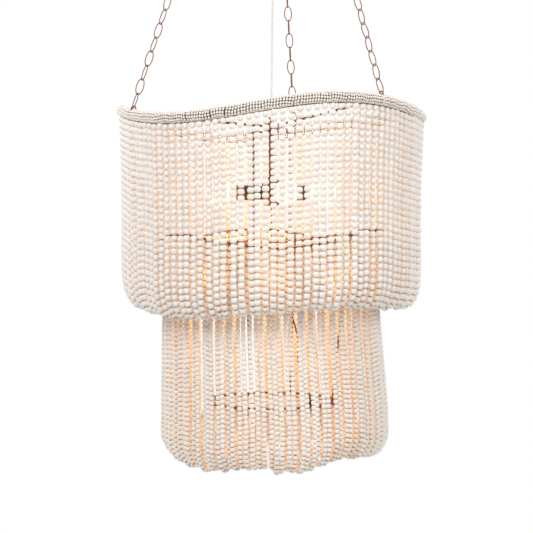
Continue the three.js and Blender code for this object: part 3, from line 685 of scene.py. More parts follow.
# A swag's stops: radius, drop below the rim, the ring whose swells it follows, and its share of them.
# Its seen gaps are an angle in degrees and how much wider or tighter the strands stand there, and its seen
# lengths are an angle and how much further they hang. The other values say how unlike the strands are.
UPPER_SWAG = {
    "stops": [
        (0.255, 0.0138, RIM, 1), (0.2521, 0.09, RIM, 0.9), (0.251, 0.1654, RIM, 0.8),
        (0.251, 0.265, RIM, 0.65), (0.2466, 0.3023, RIM, 0.6), (0.2332, 0.3205, RIM, 0.6),
        (0.213, 0.3101, RIM, 0.5), (0.1876, 0.2115, MID_RING, 1),
    ],
    "pitch": 0.01042,
    "seen_gaps": [(-90.5, -0.0012), (-96.5, -0.0022), (-99.5, 0.003), (-105.5, 0.0024), (-114.5, 0.003),
                  (-84.5, 0.0022), (-75.5, 0.0018), (-66.5, 0.0016), (-60.5, 0.0018), (-48.5, 0.0034),
                  (119.5, -0.0018), (101.5, -0.0016), (83.5, -0.0014), (80.5, -0.0014)],
    "seen_lengths": [(-150, -0.002), (-85, 0.0012), (-55, 0.0005), (-20, -0.003), (90, 0)],
    "odd_gap": 0.003,
    "own_gap": 0.0007,
    "bunch": (3, 8),
    "reach": 3.5,
    "gap_shares": (0.35, 1.4),
    "depth": 0.0009,
    "odd_length": 0.0016,
    "drift": 0.0,
    "lean": 0.0005,
    "pitch_shares": (0.006, 0.008),
    "name": "upper_strands",
    "slot": "upper_beads",
}
LOWER_SWAG = {
    "stops": [
        (0.1762, 0.2115, MID_RING, 1), (0.1841, 0.3551, MID_RING, 0.5), (0.192, 0.5245, RIM, 0.3),
        (0.187, 0.5594, RIM, 0.3), (0.1729, 0.5755, RIM, 0.3), (0.1455, 0.565, RIM, 0.2),
        (0.109, 0.4925, LOWER_RING, 1),
    ],
    "pitch": 0.0079,
    "seen_gaps": [(-135.5, 0.0048), (-129.5, 0.0024), (-120.5, 0.0032), (-114.5, 0.0028), (-108.5, 0.003),
                  (-102, 0.0022), (-94, 0.0032), (-84.5, 0.002), (-77.5, 0.005), (-67.5, 0.0028),
                  (-60.5, 0.0022), (-54.5, 0.003), (-47.5, 0.005), (-42.5, 0.002), (-36.5, 0.007),
                  (-30.5, 0.0035), (125.5, 0.0034), (118.5, 0.0034), (95.5, 0.0044), (83, 0.0034),
                  (64, 0.0034), (39, 0.0036), (22.5, 0.003), (104.5, -0.0012), (77.5, -0.0014),
                  (74.5, -0.0014), (131.5, -0.001)],
    "seen_lengths": [(-155, 0.001), (-132, 0.003), (-105, -0.004), (-76, 0.009), (-47, -0.01),
                     (-26, -0.006), (90, 0)],
    "odd_gap": 0.0038,
    "own_gap": 0.0009,
    "bunch": (2, 6),
    "reach": 2.5,
    "gap_shares": (1.25, 1.1),
    "depth": 0.0016,
    "odd_length": 0.0022,
    "drift": 0.006,
    "lean": 0.0012,
    "pitch_shares": (0.009, 0.012),
    "name": "lower_strands",
    "slot": "lower_beads",
}
ODD_GAP_CLEAR_SHARE = 0.6
LEAST_ODD_GAP_SHARE = 0.2
HELD_DROP_SHARE = 0.9
DRIFT_START_SHARE = 0.4


def strand_angle(number):
    """Where this strand hangs, counted round from the back chain."""
    return CHAIN_AZIMUTH + (number + 0.5) * FULL_TURN / STRANDS


def strand_offsets(rng, swag):
    """How far each strand stands aside, where its neighbours bunch together and leave wider gaps."""
    reach, step = swag["reach"], FULL_TURN / STRANDS
    gaps = [(math.radians(degrees), width) for degrees, width in swag["seen_gaps"]]
    angle = CHAIN_AZIMUTH
    while angle < CHAIN_AZIMUTH + FULL_TURN:
        angle += int(rng.integers(*swag["bunch"])) * step
        nearest = min(abs(math.remainder(angle - seen, FULL_TURN)) for seen, width in gaps)
        if nearest > ODD_GAP_CLEAR_SHARE * reach * step:
            gaps.append((angle, rng.uniform(LEAST_ODD_GAP_SHARE, 1) * swag["odd_gap"]))
    offsets = rng.uniform(-swag["own_gap"], swag["own_gap"], STRANDS)
    for number in range(STRANDS):
        for middle, width in gaps:
            away = math.remainder(strand_angle(number) - middle, FULL_TURN) / step
            offsets[number] += math.copysign(1, away) * width / 2 * max(0, 1 - abs(away) / reach)
    return offsets


def seen_length(swag, angle):
    """How much further the strands hang here than the swag's line, as the photograph shows it."""
    places = sorted((math.radians(degrees), longer) for degrees, longer in swag["seen_lengths"])
    angles, lengths = zip(*places)
    return float(np.interp(math.remainder(angle, FULL_TURN), angles, lengths, period=FULL_TURN))


def strand_line(swag, angle, offset, depth, longer):
    """One strand's hanging line at this angle, moved aside by one share at its top and another low down."""
    first, lowest = swag["stops"][0][1], max(stop[1] for stop in swag["stops"])
    stops = []
    for radius, drop, ring, share in swag["stops"]:
        held = ring is not RIM and drop < lowest * HELD_DROP_SHARE
        hangs = 0 if held else longer * (drop - first) / (lowest - first)
        stops.append((radius, RIM["height"] - drop - hangs + share * sway(ring, angle)))
    radius, height = smooth_stops(stops).T
    fall = np.clip((height[0] - height) / (height[0] - height.min()), 0, 1)
    ends = np.sin(np.linspace(0, math.pi, len(radius))) ** 0.5
    top_share, low_share = swag["gap_shares"]
    angles = angle + offset * (top_share * (1 - fall) + low_share * fall) / radius
    radii = radius + depth * ends
    # The lower tier hangs a little to one side, and comes back over its last third to its lower ring.
    back = np.clip((1 - np.linspace(0, 1, len(radius))) * 3, 0, 1)
    aside = swag["drift"] * np.clip((fall - DRIFT_START_SHARE) / DRIFT_START_SHARE, 0, 1) * back
    return np.stack([radii * np.cos(angles) + aside, radii * np.sin(angles), height], axis=1)


def bead_places(points, swag, rng):
    """Steps of a bead each along the line, no two alike, with the way that the string runs at each."""
    steps = np.linalg.norm(np.diff(points, axis=0), axis=1)
    walked = np.concatenate([[0], np.cumsum(steps)])
    strand_share, bead_share = swag["pitch_shares"]
    pitch = swag["pitch"] * (1 + rng.normal(0, strand_share))
    pitches = pitch * (1 + rng.uniform(-bead_share, bead_share, int(walked[-1] / pitch * 1.2)))
    stations = rng.uniform(0, FIRST_BEAD_SLACK) + np.concatenate([[0], np.cumsum(pitches)])
    stations = stations[stations <= walked[-1]]
    places = np.stack([np.interp(stations, walked, points[:, axis]) for axis in range(3)], axis=1)
    tangents = np.gradient(places, axis=0)
    return places, tangents / np.linalg.norm(tangents, axis=1, keepdims=True)


def make_tier(swag, bead, material, rng):
    """Six panels of twenty strands each, hung from one smooth swag line, each a little its own way."""
    offsets = strand_offsets(rng, swag)
    corners, faces = bead
    from_middle = np.abs(corners[:, 2])
    # Painted glow: a bead's ends take the bare wood and warm light colour
    wood_and_glow_ends = (from_middle > WOOD_AND_GLOW_END_SHARE * from_middle.max()).astype(float)
    for panel in range(PANELS):
        shapes = []
        for strand in range(STRANDS_PER_PANEL):
            number = panel * STRANDS_PER_PANEL + strand
            angle = strand_angle(number)
            depth = rng.uniform(-swag["depth"], swag["depth"])
            longer = seen_length(swag, angle) + rng.normal(0, swag["odd_length"])
            aside = offsets[number] + rng.normal(0, swag["lean"])
            points = strand_line(swag, angle, aside, depth, longer)
            places, tangents = bead_places(points, swag, rng)
            outward = np.tile([math.cos(angle), math.sin(angle), 0.001], (len(places), 1))
            strand_tone = rng.uniform(0, STRAND_TONE_SPREAD)
            spins = rng.uniform(0, FULL_TURN, len(places))
            sizes = rng.uniform(*BEAD_SIZE_SHARES, len(places))
            tones = strand_tone + rng.uniform(0, BEAD_TONE_SPREAD, len(places))
            axes = axes_along(tangents, outward)
            for k in range(len(places)):
                turn = np.array([[math.cos(spins[k]), -math.sin(spins[k]), 0],
                                 [math.sin(spins[k]), math.cos(spins[k]), 0], [0, 0, 1]])
                shapes.append((corners * sizes[k] @ turn.T @ axes[k].T + places[k], faces, 0,
                               tones[k] * PAINT_TONE_SHARE + wood_and_glow_ends))
            shapes.append((*thread_tube(places), 1, PLAIN_TONE))
        name = f"{swag['name']}_{panel + 1}"
        piece = many_copies(name + "_beads", shapes)
        dress(piece, name + "_beads", "chandelier", [name], swag["slot"], material, STRING)
        piece.data.shade_smooth()


UPPER_BEAD_RADIUS = 0.0058
UPPER_BEAD_HALF_HEIGHT = 0.0053
LOWER_BEAD_RADIUS = 0.0044
LOWER_BEAD_HALF_HEIGHT = 0.0041

rng = np.random.default_rng(PIECE_SEED)
upper_bead = shape_of(model_bead(UPPER_BEAD_RADIUS, UPPER_BEAD_HALF_HEIGHT))
make_tier(UPPER_SWAG, upper_bead, UPPER_BEADS, rng)
lower_bead = shape_of(model_bead(LOWER_BEAD_RADIUS, LOWER_BEAD_HALF_HEIGHT))
make_tier(LOWER_SWAG, lower_bead, LOWER_BEADS, rng)


# Rim: core wire and the wrapping of small beads

SEED_RADIUS = 0.00215
SEED_LENGTH_SHARE = 1.06
SEED_PITCH = 0.0045
SEEDS_ROUND = 10
STRAND_WIRE = 0.0008
CORE_WIRE = 0.006
SLIPPED_TURN_SHARE = 0.05
SLIPPED_PITCH_SHARES = (1.2, 1.4)
TURN_PITCH_SHARES = (0.96, 1.04)
SLANT_KEPT_SHARE = 0.8
SLANT_STEP_SHARE = 0.2
PHASE_STEP = 0.25
TURN_TONE_SPREAD = 0.3


def make_rim_core():
    """The ring inside the wrapping."""
    clear_selection()
    bpy.ops.mesh.primitive_torus_add(major_segments=120, minor_segments=12, major_radius=RIM["radius"],
                                     minor_radius=CORE_WIRE, location=(0, 0, RIM["height"]))
    core = place(bpy.context.object)
    bend_to_ring(core, RIM)
    dress(core, "rim_core_ring", "chandelier", ["rim_core"], "frame_metal", DARK_CORE)


def make_strand_wire():
    """The thin wire under the wrapping that the upper strands are tied to."""
    clear_selection()
    bpy.ops.mesh.primitive_torus_add(major_segments=120, minor_segments=8, major_radius=RIM["radius"],
                                     minor_radius=STRAND_WIRE, location=(0, 0, RIM["height"] - WRAP_RADIUS))
    wire = place(bpy.context.object)
    bend_to_ring(wire, RIM)
    dress_frame(wire, "strand_wire")


def model_seed():
    """One small glass bead, a little longer along its hole."""
    clear_selection()
    bpy.ops.mesh.primitive_uv_sphere_add(segments=8, ring_count=5, radius=SEED_RADIUS)
    seed = bpy.context.object
    edit()
    bpy.ops.transform.resize(value=(1, 1, SEED_LENGTH_SHARE), center_override=(0, 0, 0))
    bpy.ops.object.mode_set(mode="OBJECT")
    return seed


def wrap_turns(rng, start, end):
    """The angle of each turn of the wrapping, with the odd wider gap where turns have slipped."""
    pitch = SEED_PITCH / RIM["radius"]
    angles = []
    angle = start
    while angle < end - pitch * 0.5:
        angles.append(angle)
        slipped = rng.random() < SLIPPED_TURN_SHARE
        angle += pitch * rng.uniform(*(SLIPPED_PITCH_SHARES if slipped else TURN_PITCH_SHARES))
    return angles


def chain_angle(i):
    """A third of a turn apart, with the two front chains moved a little."""
    shift = CHAIN_SHIFT_SHARES[i % CHAIN_COUNT] * CHAIN_SHIFT
    return CHAIN_AZIMUTH + i * FULL_TURN / CHAIN_COUNT + shift


def make_rim_wraps(rng):
    """Turn after turn of ten small beads round the rim, each turn with its own slant."""
    corners, faces = shape_of(model_seed())
    track = WRAP_RADIUS - SEED_RADIUS
    for wrap in range(CHAIN_COUNT):
        shapes = []
        slant = 0.0
        phase = 0.0
        for angle in wrap_turns(rng, chain_angle(wrap), chain_angle(wrap + 1)):
            slant_step = rng.uniform(-SLANT_STEP_SHARE, SLANT_STEP_SHARE)
            slant = slant * SLANT_KEPT_SHARE + slant_step * SEED_PITCH / RIM["radius"]
            phase += rng.uniform(-PHASE_STEP, PHASE_STEP)
            turn_tone = rng.uniform(0, TURN_TONE_SPREAD)
            for k in range(SEEDS_ROUND):
                about = (k + phase) * FULL_TURN / SEEDS_ROUND
                at = angle + slant * math.sin(about)
                out = Vector((math.cos(at), math.sin(at), 0))
                face = math.cos(about) * out + math.sin(about) * UP
                along = -math.sin(about) * out + math.cos(about) * UP
                centre = ring_point(RIM, at) + track * face
                axes = np.stack([np.array(face.cross(along)), np.array(face), np.array(along)], axis=1)
                tone = turn_tone + rng.uniform(0, BEAD_TONE_SPREAD)
                shapes.append((corners @ axes.T + np.array(centre), faces, 0, tone))
        name = f"rim_wrap_{wrap + 1}"
        piece = many_copies(name + "_seed_beads", shapes)
        dress(piece, name + "_seed_beads", "chandelier", [name], "seed_beads", SEED_BEADS)
        piece.data.shade_smooth()


make_rim_core()
make_strand_wire()
make_rim_wraps(rng)


EYE_HEIGHT = 0.0138
EYE_HALF_WIDTH = 0.004
EYE_WIRE = 0.0011
LUG_RADIUS = 0.003
LUG_FACE = 0.0154
LUG_FOOT = 0.005
COLLAR_RADIUS = 0.0072
COLLAR_BORE = 0.0062
COLLAR_HALF_LENGTH = 0.006


def make_collar(i):
    """The clamp under the wrapping, with its eye for the chain and its lug for the spoke."""
    angle = chain_angle(i)
    centre = ring_point(RIM, angle)
    out = Vector((math.cos(angle), math.sin(angle), 0))
    round_rim = Vector((-math.sin(angle), math.cos(angle), 0))
    half = EYE_HALF_WIDTH
    arch_points = [(-half, 0.002), (-half, 0.009), (-half * 0.75, EYE_HEIGHT - 0.0012), (0, EYE_HEIGHT),
                   (half * 0.75, EYE_HEIGHT - 0.0012), (half, 0.009), (half, 0.002)]
    arch = as_mesh(bent_wire([centre + out * x + UP * z for x, z in arch_points], EYE_WIRE))
    bore, end = COLLAR_BORE, COLLAR_HALF_LENGTH
    band = turned([(bore, -end), (COLLAR_RADIUS, -end), (COLLAR_RADIUS, end), (bore, end),
                   (bore, -end)], 24)
    place(band, turn_to(round_rim, centre))
    lug = turned([(0, LUG_FOOT), (LUG_RADIUS, LUG_FOOT), (LUG_RADIUS, LUG_FACE - 0.001),
                  (LUG_RADIUS * 0.8, LUG_FACE), (0, LUG_FACE)], 16)
    place(lug, turn_to(-out, centre))
    hold(arch)
    band.select_set(True)
    lug.select_set(True)
    bpy.ops.object.join()
    dress_frame(arch, f"rim_collar_{i + 1}_eye", f"rim_collar_{i + 1}")


for i in range(CHAIN_COUNT):
    make_collar(i)


# Hanging gear

CEILING_EYE_DROP = 0.036
CEILING_EYE_RADIUS = 0.009
CEILING_EYE_WIRE = 0.003
SWIVEL_BEND = 0.00585
SWIVEL_TOP = -0.045
SWIVEL_LENGTH = 0.022
SWIVEL_WIRE = 0.0025
TOP_RING_RADIUS = 0.016
TOP_RING_HEIGHT = -0.083
RING_WIRE = 0.003
GRIP_TOP = -0.00335
GRIP_FOOT = -0.02735
GRIP_RIBS = 4
GRIP_PLACE = (0, -0.012, 0)


def make_ceiling_eye():
    """A threaded shank with an eye bent below it."""
    shank = turned([(0, -0.00335), (0.0034, -0.00335), (0.004, -0.0042), (0.004, -0.0255),
                    (0.0034, -0.0275), (0, -0.0275)], 20)
    eye = wire_loop(CEILING_EYE_RADIUS, CEILING_EYE_RADIUS, CEILING_EYE_WIRE, (0, 0, -CEILING_EYE_DROP))
    hold(shank)
    eye.select_set(True)
    bpy.ops.object.join()
    dress(shank, "ceiling_eye_bolt", "canopy", ["ceiling_eye"], "chain_metal", CHAIN_METAL)


def make_swivel_link():
    """A long wire link, half a turn at each end."""
    points = []
    steps = 4
    for end in (0, 1):
        for k in range(steps + 1):
            turn = (k / steps + end) * math.pi
            middle = SWIVEL_TOP - end * SWIVEL_LENGTH
            points.append((0, SWIVEL_BEND * math.cos(turn), middle + SWIVEL_BEND * math.sin(turn)))
    link = as_mesh(bent_wire(points, SWIVEL_WIRE, closed=True))
    dress(link, "swivel_link_wire", "swivel", ["swivel_link"], "chain_metal", CHAIN_METAL)


def make_top_ring():
    """The ring that gathers the three chains."""
    ring = wire_loop(TOP_RING_RADIUS, TOP_RING_RADIUS, RING_WIRE, (0, 0, TOP_RING_HEIGHT))
    dress(ring, "top_ring_wire", "chandelier", ["top_ring"], "chain_metal", CHAIN_METAL)


def make_canopy():
    """A spun metal cover with a rolled edge against the ceiling and a rolled mouth."""
    outside = [(0.062, -0.0002), (0.0632, -0.0012), (0.0632, -0.0026), (0.062, -0.0036), (0.062, -0.0135),
               (0.0602, -0.0192), (0.0563, -0.0245), (0.0505, -0.029), (0.0425, -0.0325), (0.034, -0.0345),
               (0.0262, -0.0356), (0.024, -0.036)]
    inside = [(0.0228, -0.0352), (0.0236, -0.0344), (0.034, -0.033), (0.042, -0.031), (0.0496, -0.0276),
              (0.0552, -0.0232), (0.0588, -0.0184), (0.0604, -0.0132), (0.0604, -0.0002)]
    cover = turned([*outside, *inside, outside[0]], 72)
    dress(cover, "canopy_cover_spun", "canopy", ["canopy_cover"], "canopy_metal", CANOPY_PAINT)


def make_cord_grip():
    """A turned plastic bush, ribbed near its foot."""
    profile = lifted(GRIP_FOOT, [(0, 0), (0.0028, 0), (0.0031, 0.002)])
    for k in range(GRIP_RIBS):
        rib = GRIP_FOOT + 0.003 + k * 0.0026
        profile += lifted(rib, [(0.0031, 0), (0.0038, 0.0006), (0.0038, 0.0014), (0.0031, 0.002)])
    profile += [(0.004, GRIP_FOOT + 0.0145), (0.004, GRIP_TOP), (0, GRIP_TOP)]
    grip = turned(profile, 20)
    place(grip, Matrix.Translation(Vector(GRIP_PLACE)))
    dress(grip, "cord_grip_ribbed", "canopy", ["cord_grip"], "socket_plastic", SOCKET_PLASTIC)


make_ceiling_eye()
make_swivel_link()
make_top_ring()
make_canopy()
make_cord_grip()


# Chains

LINKS_PER_CHAIN = 30
LINK_HALF_WIDTH = 0.0063
LINK_HALF_LENGTH = 0.0137
LINK_WIRE = 0.00145
CAD_LINK_WIRE = 0.0015
EYE_BAR_WIRE = 0.0036
LINK_WELD = 0.0003
# Where round the top ring each chain holds it, from its foot, and the share of a link's wire that counts in
# its clearance from the eye and from the ring
HOLD_TURN = 0.21 * math.pi
HOLD_TURNS = [0, -HOLD_TURN, HOLD_TURN]
BAR_SEAT_SHARE = 0.35
RING_SEAT_SHARE = 0.45


def make_chain(i, link):
    """Thirty oval links from the top ring to the rim's eye, each turned about a quarter from the last."""
    corners, faces = link
    angle = chain_angle(i)
    turn = HOLD_TURNS[i]
    top_height = TOP_RING_HEIGHT - TOP_RING_RADIUS * math.cos(turn)
    top = Vector((TOP_RING_RADIUS * math.sin(turn), 0, top_height))
    foot = ring_point(RIM, angle, 0, EYE_HEIGHT)
    along = (foot - top).normalized()
    bar_clearance = SEAT_GAP + EYE_BAR_WIRE / 2 + CAD_LINK_WIRE * BAR_SEAT_SHARE
    ring_clearance = SEAT_GAP + RING_WIRE + CAD_LINK_WIRE * RING_SEAT_SHARE
    pitch = ((foot - top).length + bar_clearance + ring_clearance + LINK_WELD) / LINKS_PER_CHAIN
    cad_half_length = (pitch + CAD_LINK_WIRE - LINK_WELD) / 2
    first = top + along * (cad_half_length - CAD_LINK_WIRE / 2 - ring_clearance)
    ring_tangent = Vector((math.cos(turn), 0, math.sin(turn)))
    top_normal = (ring_tangent - along * ring_tangent.dot(along)).normalized()
    rim_tangent = Vector((-math.sin(angle), math.cos(angle), 0))
    foot_normal = rim_tangent.cross(along).normalized()
    quarter_turns = LINKS_PER_CHAIN - 1
    reached = Matrix.Rotation(quarter_turns * math.pi / 2, 3, along) @ top_normal
    twist = math.atan2(along.dot(reached.cross(foot_normal)), reached.dot(foot_normal))
    twist -= math.pi * round(twist / math.pi)
    shapes = []
    for k in range(LINKS_PER_CHAIN):
        normal = Matrix.Rotation(k * math.pi / 2 + twist * k / quarter_turns, 3, along) @ top_normal
        across = normal.cross(along)
        axes = np.stack([np.array(across), np.array(normal), np.array(along)], axis=1)
        shapes.append((corners @ axes.T + np.array(first + along * (k * pitch)), faces, 0, PLAIN_TONE))
    piece = many_copies(f"chain_{i + 1}_links", shapes)
    dress(piece, f"chain_{i + 1}_links", "chandelier", [f"chain_{i + 1}"], "chain_metal", CHAIN_METAL)
    piece.data.shade_smooth()


link = shape_of(wire_loop(LINK_HALF_WIDTH, LINK_HALF_LENGTH, LINK_WIRE, (0, 0, 0)))
for i in range(CHAIN_COUNT):
    make_chain(i, link)


# Stem, hub, spokes, rings, arms and rods

HUB_HEIGHT = -0.816
HUB_RADIUS = 0.012
HUB_HALF_HEIGHT = 0.007
CAP_FOOT = HUB_HEIGHT + 0.00735
STEM_TOP = -0.82335
STEM_FOOT = -0.90665
STEM_RADIUS = 0.005
STEM_BORE = 0.0032
ROD_RADIUS = 0.0022
DROP_ROD_SHARE = 0.8
LAMP_HEIGHT = -0.929
LAMP_BODY_RADIUS = 0.017
LAMP_BODY_HALF_HEIGHT = 0.022
LAMP_AZIMUTH = math.radians(-75)
ARM_AZIMUTH = math.radians(-108)
PLATE_HEIGHT = -1.013
PLATE_RADIUS = 0.042
PLATE_BORE = 0.006
PLATE_THICKNESS = 0.003
BAR_TOP = -0.82335
BAR_SIZE = (0.084, 0.012, 0.003)
BAR_AZIMUTH = math.radians(-30)
BAR_BORE = 0.0054
HANGER_RADIUS = 0.036
LAMP_COUNT = 4
ROD_TOP_INSET = 0.034
BAND_WIDTH = {"mid_ring": 0.021, "lower_ring": 0.014}


def make_hub():
    """The turned boss that the spokes meet at, with a groove round it."""
    top, bottom = HUB_HEIGHT + HUB_HALF_HEIGHT, HUB_HEIGHT - HUB_HALF_HEIGHT
    hub = turned([(0, bottom), (0.0105, bottom), (HUB_RADIUS, bottom + 0.0015), (HUB_RADIUS, top - 0.004),
                  (0.0112, top - 0.0034), (0.0112, top - 0.0028), (HUB_RADIUS, top - 0.0022),
                  (HUB_RADIUS, top - 0.0012), (0.0108, top), (0, top)], 32)
    dress_frame(hub, "spider_hub_turned", "spider_hub")


def make_cap():
    """The small flared cap on top of the hub, where the cord goes in."""
    cap = turned(lifted(CAP_FOOT, [
        (0, 0), (0.0039, 0), (0.0036, 0.001), (0.0028, 0.0036), (0.0034, 0.0058), (0.0052, 0.0078),
        (0.0055, 0.0086), (0.0052, 0.009), (0, 0.009),
    ]), 24)
    dress_frame(cap, "stem_cap_flared", "stem_cap")


def make_stem():
    """A length of pipe with a raised ring at each end."""
    top, bottom, outer, bore = STEM_TOP, STEM_FOOT, STEM_RADIUS, STEM_BORE
    ring = outer * 1.18
    pipe = turned([(bore, bottom), (outer * 0.92, bottom), (ring, bottom + 0.001), (ring, bottom + 0.004),
                   (outer, bottom + 0.005), (outer, top - 0.005), (ring, top - 0.004), (ring, top - 0.001),
                   (outer * 0.92, top), (bore, top), (bore, bottom)], 24)
    dress_frame(pipe, "stem_pipe", "stem")


def make_lamp_body():
    """A turned drum with a groove near each end, which the lamp sockets stand round."""
    top, bottom = LAMP_HEIGHT + LAMP_BODY_HALF_HEIGHT, LAMP_HEIGHT - LAMP_BODY_HALF_HEIGHT
    radius, groove = LAMP_BODY_RADIUS, LAMP_BODY_RADIUS * 0.965
    body = turned([(0, bottom), (0.012, bottom), (0.0145, bottom + 0.0008), (radius, bottom + 0.0042),
                   (radius, bottom + 0.008), (groove, bottom + 0.0086), (groove, bottom + 0.0098),
                   (radius, bottom + 0.0104), (radius, top - 0.0104), (groove, top - 0.0098),
                   (groove, top - 0.0086), (radius, top - 0.008), (radius, top - 0.0042),
                   (0.0145, top - 0.0008), (0.012, top), (0, top)], 40)
    dress_frame(body, "lamp_body_turned", "lamp_body")


def make_band(name, ring):
    """A flat metal band with filed edges."""
    half, thick = BAND_WIDTH[name] / 2, RING_THICKNESS / 2
    inner, outer, height = ring["radius"] - half, ring["radius"] + half, ring["height"]
    band = turned([(inner, height - thick), (outer, height - thick), (outer, height + thick),
                   (inner, height + thick), (inner, height - thick)], 96)
    apply_bevel(band, 0.0005)
    bend_to_ring(band, ring)
    dress_frame(band, name + "_band", name)


def make_spokes():
    """The rods from the hub to the rim's three lugs."""
    middle = Vector((0, 0, HUB_HEIGHT))
    for i in range(CHAIN_COUNT):
        face = ring_point(RIM, chain_angle(i), -LUG_FACE)
        outward = (face - middle).normalized()
        rod(middle + outward * (HUB_RADIUS + SEAT_GAP), face - outward * 2 * SEAT_GAP, ROD_RADIUS,
            f"rim_spoke_{i + 1}")


def make_arms_and_rods():
    """Four arms from the plate to the middle ring, and a rod from each down to the lower ring."""
    inner_edge = MID_RING["radius"] - BAND_WIDTH["mid_ring"] / 2
    for i in range(LAMP_COUNT):
        angle = ARM_AZIMUTH + i * FULL_TURN / LAMP_COUNT
        out = Vector((math.cos(angle), math.sin(angle), 0))
        start = Vector((0, 0, PLATE_HEIGHT)) + out * (PLATE_RADIUS + 2 * SEAT_GAP)
        end = ring_point(MID_RING, angle, inner_edge - MID_RING["radius"] - 2 * SEAT_GAP)
        rod(start, end, ROD_RADIUS, f"mid_arm_{i + 1}")
        share = 1 - ROD_TOP_INSET / (inner_edge - PLATE_RADIUS)
        under_arm = start.lerp(end, share) - Vector((0, 0, ROD_RADIUS * 1.2 + 2 * SEAT_GAP))
        foot = ring_point(LOWER_RING, angle, 0, RING_THICKNESS / 2 + 2 * SEAT_GAP)
        rod(under_arm, foot, ROD_RADIUS * DROP_ROD_SHARE, f"drop_rod_{i + 1}")


def make_cross_bar():
    """A flat bar with round ends under the hub, holed for the stem."""
    clear_selection()
    length, width, thickness = BAR_SIZE
    bpy.ops.mesh.primitive_cube_add(size=1, location=(0, 0, BAR_TOP - thickness / 2))
    bar = bpy.context.object
    bar.scale = (length, width, thickness)
    place(bar)
    low, high = BAR_TOP - 2 * thickness, BAR_TOP + thickness
    hole = turned([(0, low), (BAR_BORE, low), (BAR_BORE, high), (0, high)], 32)
    hold(bar)
    cut = bar.modifiers.new("stem_hole", "BOOLEAN")
    cut.object = hole
    cut.operation = "DIFFERENCE"
    bpy.ops.object.modifier_apply(modifier=cut.name)
    remove(hole)
    apply_bevel(bar, 0.0006)
    place(bar, Matrix.Rotation(BAR_AZIMUTH, 4, "Z"))
    dress_frame(bar, "cross_bar_flat", "cross_bar")


def make_ring_plate():
    """A round plate under the lamps, with a bore for the lead."""
    low, high = PLATE_HEIGHT - PLATE_THICKNESS / 2, PLATE_HEIGHT + PLATE_THICKNESS / 2
    plate = turned([(PLATE_BORE, low), (PLATE_RADIUS, low), (PLATE_RADIUS, high), (PLATE_BORE, high),
                    (PLATE_BORE, low)], 64)
    apply_bevel(plate, 0.0006)
    dress_frame(plate, "ring_plate_round", "ring_plate")


def make_hanger_rods():
    """The two rods that hang the plate from the cross bar."""
    for i in range(2):
        angle = BAR_AZIMUTH + i * math.pi
        x, y = HANGER_RADIUS * math.cos(angle), HANGER_RADIUS * math.sin(angle)
        top = Vector((x, y, BAR_TOP - BAR_SIZE[2] - SEAT_GAP))
        foot = Vector((x, y, PLATE_HEIGHT + PLATE_THICKNESS / 2 + SEAT_GAP))
        rod(foot, top, ROD_RADIUS, f"hanger_rod_{i + 1}")


make_hub()
make_cap()
make_stem()
make_lamp_body()
make_cross_bar()
make_ring_plate()
make_hanger_rods()
make_band("mid_ring", MID_RING)
make_band("lower_ring", LOWER_RING)
make_spokes()
make_arms_and_rods()


# Lamp sockets and bulbs

SOCKET_LENGTH = 0.044
SOCKET_RADIUS = 0.013
SOCKET_MOUTH = 0.0105
SOCKET_DEPTH = 0.022
SOCKET_RIBS = 5
BULB_FOOT = 0.0225
BULB_BASE_LENGTH = 0.024
BULB_LENGTH = 0.076
BULB_RADIUS = 0.021
BULB_THREADS = 4
# The glass from its neck to its tip, as shares of its radius and of its length
BULB_PROFILE_SHARES = [
    (0.43, 0.012), (0.455, 0.06), (0.55, 0.15), (0.74, 0.26), (0.9, 0.38), (0.985, 0.5), (1, 0.58),
    (0.975, 0.68), (0.88, 0.79), (0.7, 0.89), (0.44, 0.965), (0.2, 0.992), (0, 1),
]


def model_socket():
    """A screw-shell lamp holder: a domed foot, a ribbed skirt and a rolled mouth."""
    radius, length, mouth = SOCKET_RADIUS, SOCKET_LENGTH, SOCKET_MOUTH
    profile = [(0, 0), (0.0088, 0), (0.0104, 0.0008), (radius * 0.97, 0.0046), (radius * 0.97, 0.012),
               (radius * 0.9, 0.0128), (radius * 0.9, 0.0142), (radius * 0.97, 0.015)]
    for k in range(SOCKET_RIBS):
        rib = 0.0175 + k * 0.0038
        profile += lifted(rib, [(radius * 0.95, 0), (radius, 0.0007), (radius, 0.0021),
                                (radius * 0.95, 0.0028)])
    profile += [(radius * 0.96, length - 0.0035), (radius, length - 0.0022), (radius, length - 0.0006),
                (radius * 0.96, length), (mouth + 0.0005, length), (mouth, length - 0.0012),
                (mouth, length - SOCKET_DEPTH), (0, length - SOCKET_DEPTH)]
    return turned(profile, 28)


def model_screw_base():
    """The bulb's brass shell with its rolled thread and the insulator below it."""
    profile = lifted(BULB_FOOT, [(0, 0), (0.003, 0), (0.0034, 0.0012), (0.006, 0.0022), (0.0086, 0.0042)])
    for k in range(BULB_THREADS):
        ridge = BULB_FOOT + 0.0052 + k * 0.0034
        profile += lifted(ridge, [(0.0088, 0), (0.0095, 0.0008), (0.0095, 0.0014), (0.0088, 0.0022)])
    profile += [(0.0092, BULB_FOOT + BULB_BASE_LENGTH - 0.004), (0.0094, BULB_FOOT + BULB_BASE_LENGTH),
                (0, BULB_FOOT + 0.0246)]
    return turned(profile, 24)


def model_bulb_glass():
    """A pear-shaped frosted bulb."""
    start = BULB_FOOT + BULB_BASE_LENGTH
    glass = BULB_LENGTH - BULB_BASE_LENGTH
    profile = [(0, start + 0.0007)] + [(BULB_RADIUS * r, start + glass * z) for r, z in BULB_PROFILE_SHARES]
    return turned(profile, 32)


def lamp_direction(i):
    """The way that this socket and its bulb stand out from the lamp body."""
    angle = LAMP_AZIMUTH + i * FULL_TURN / LAMP_COUNT
    return Vector((math.cos(angle), math.sin(angle), 0))


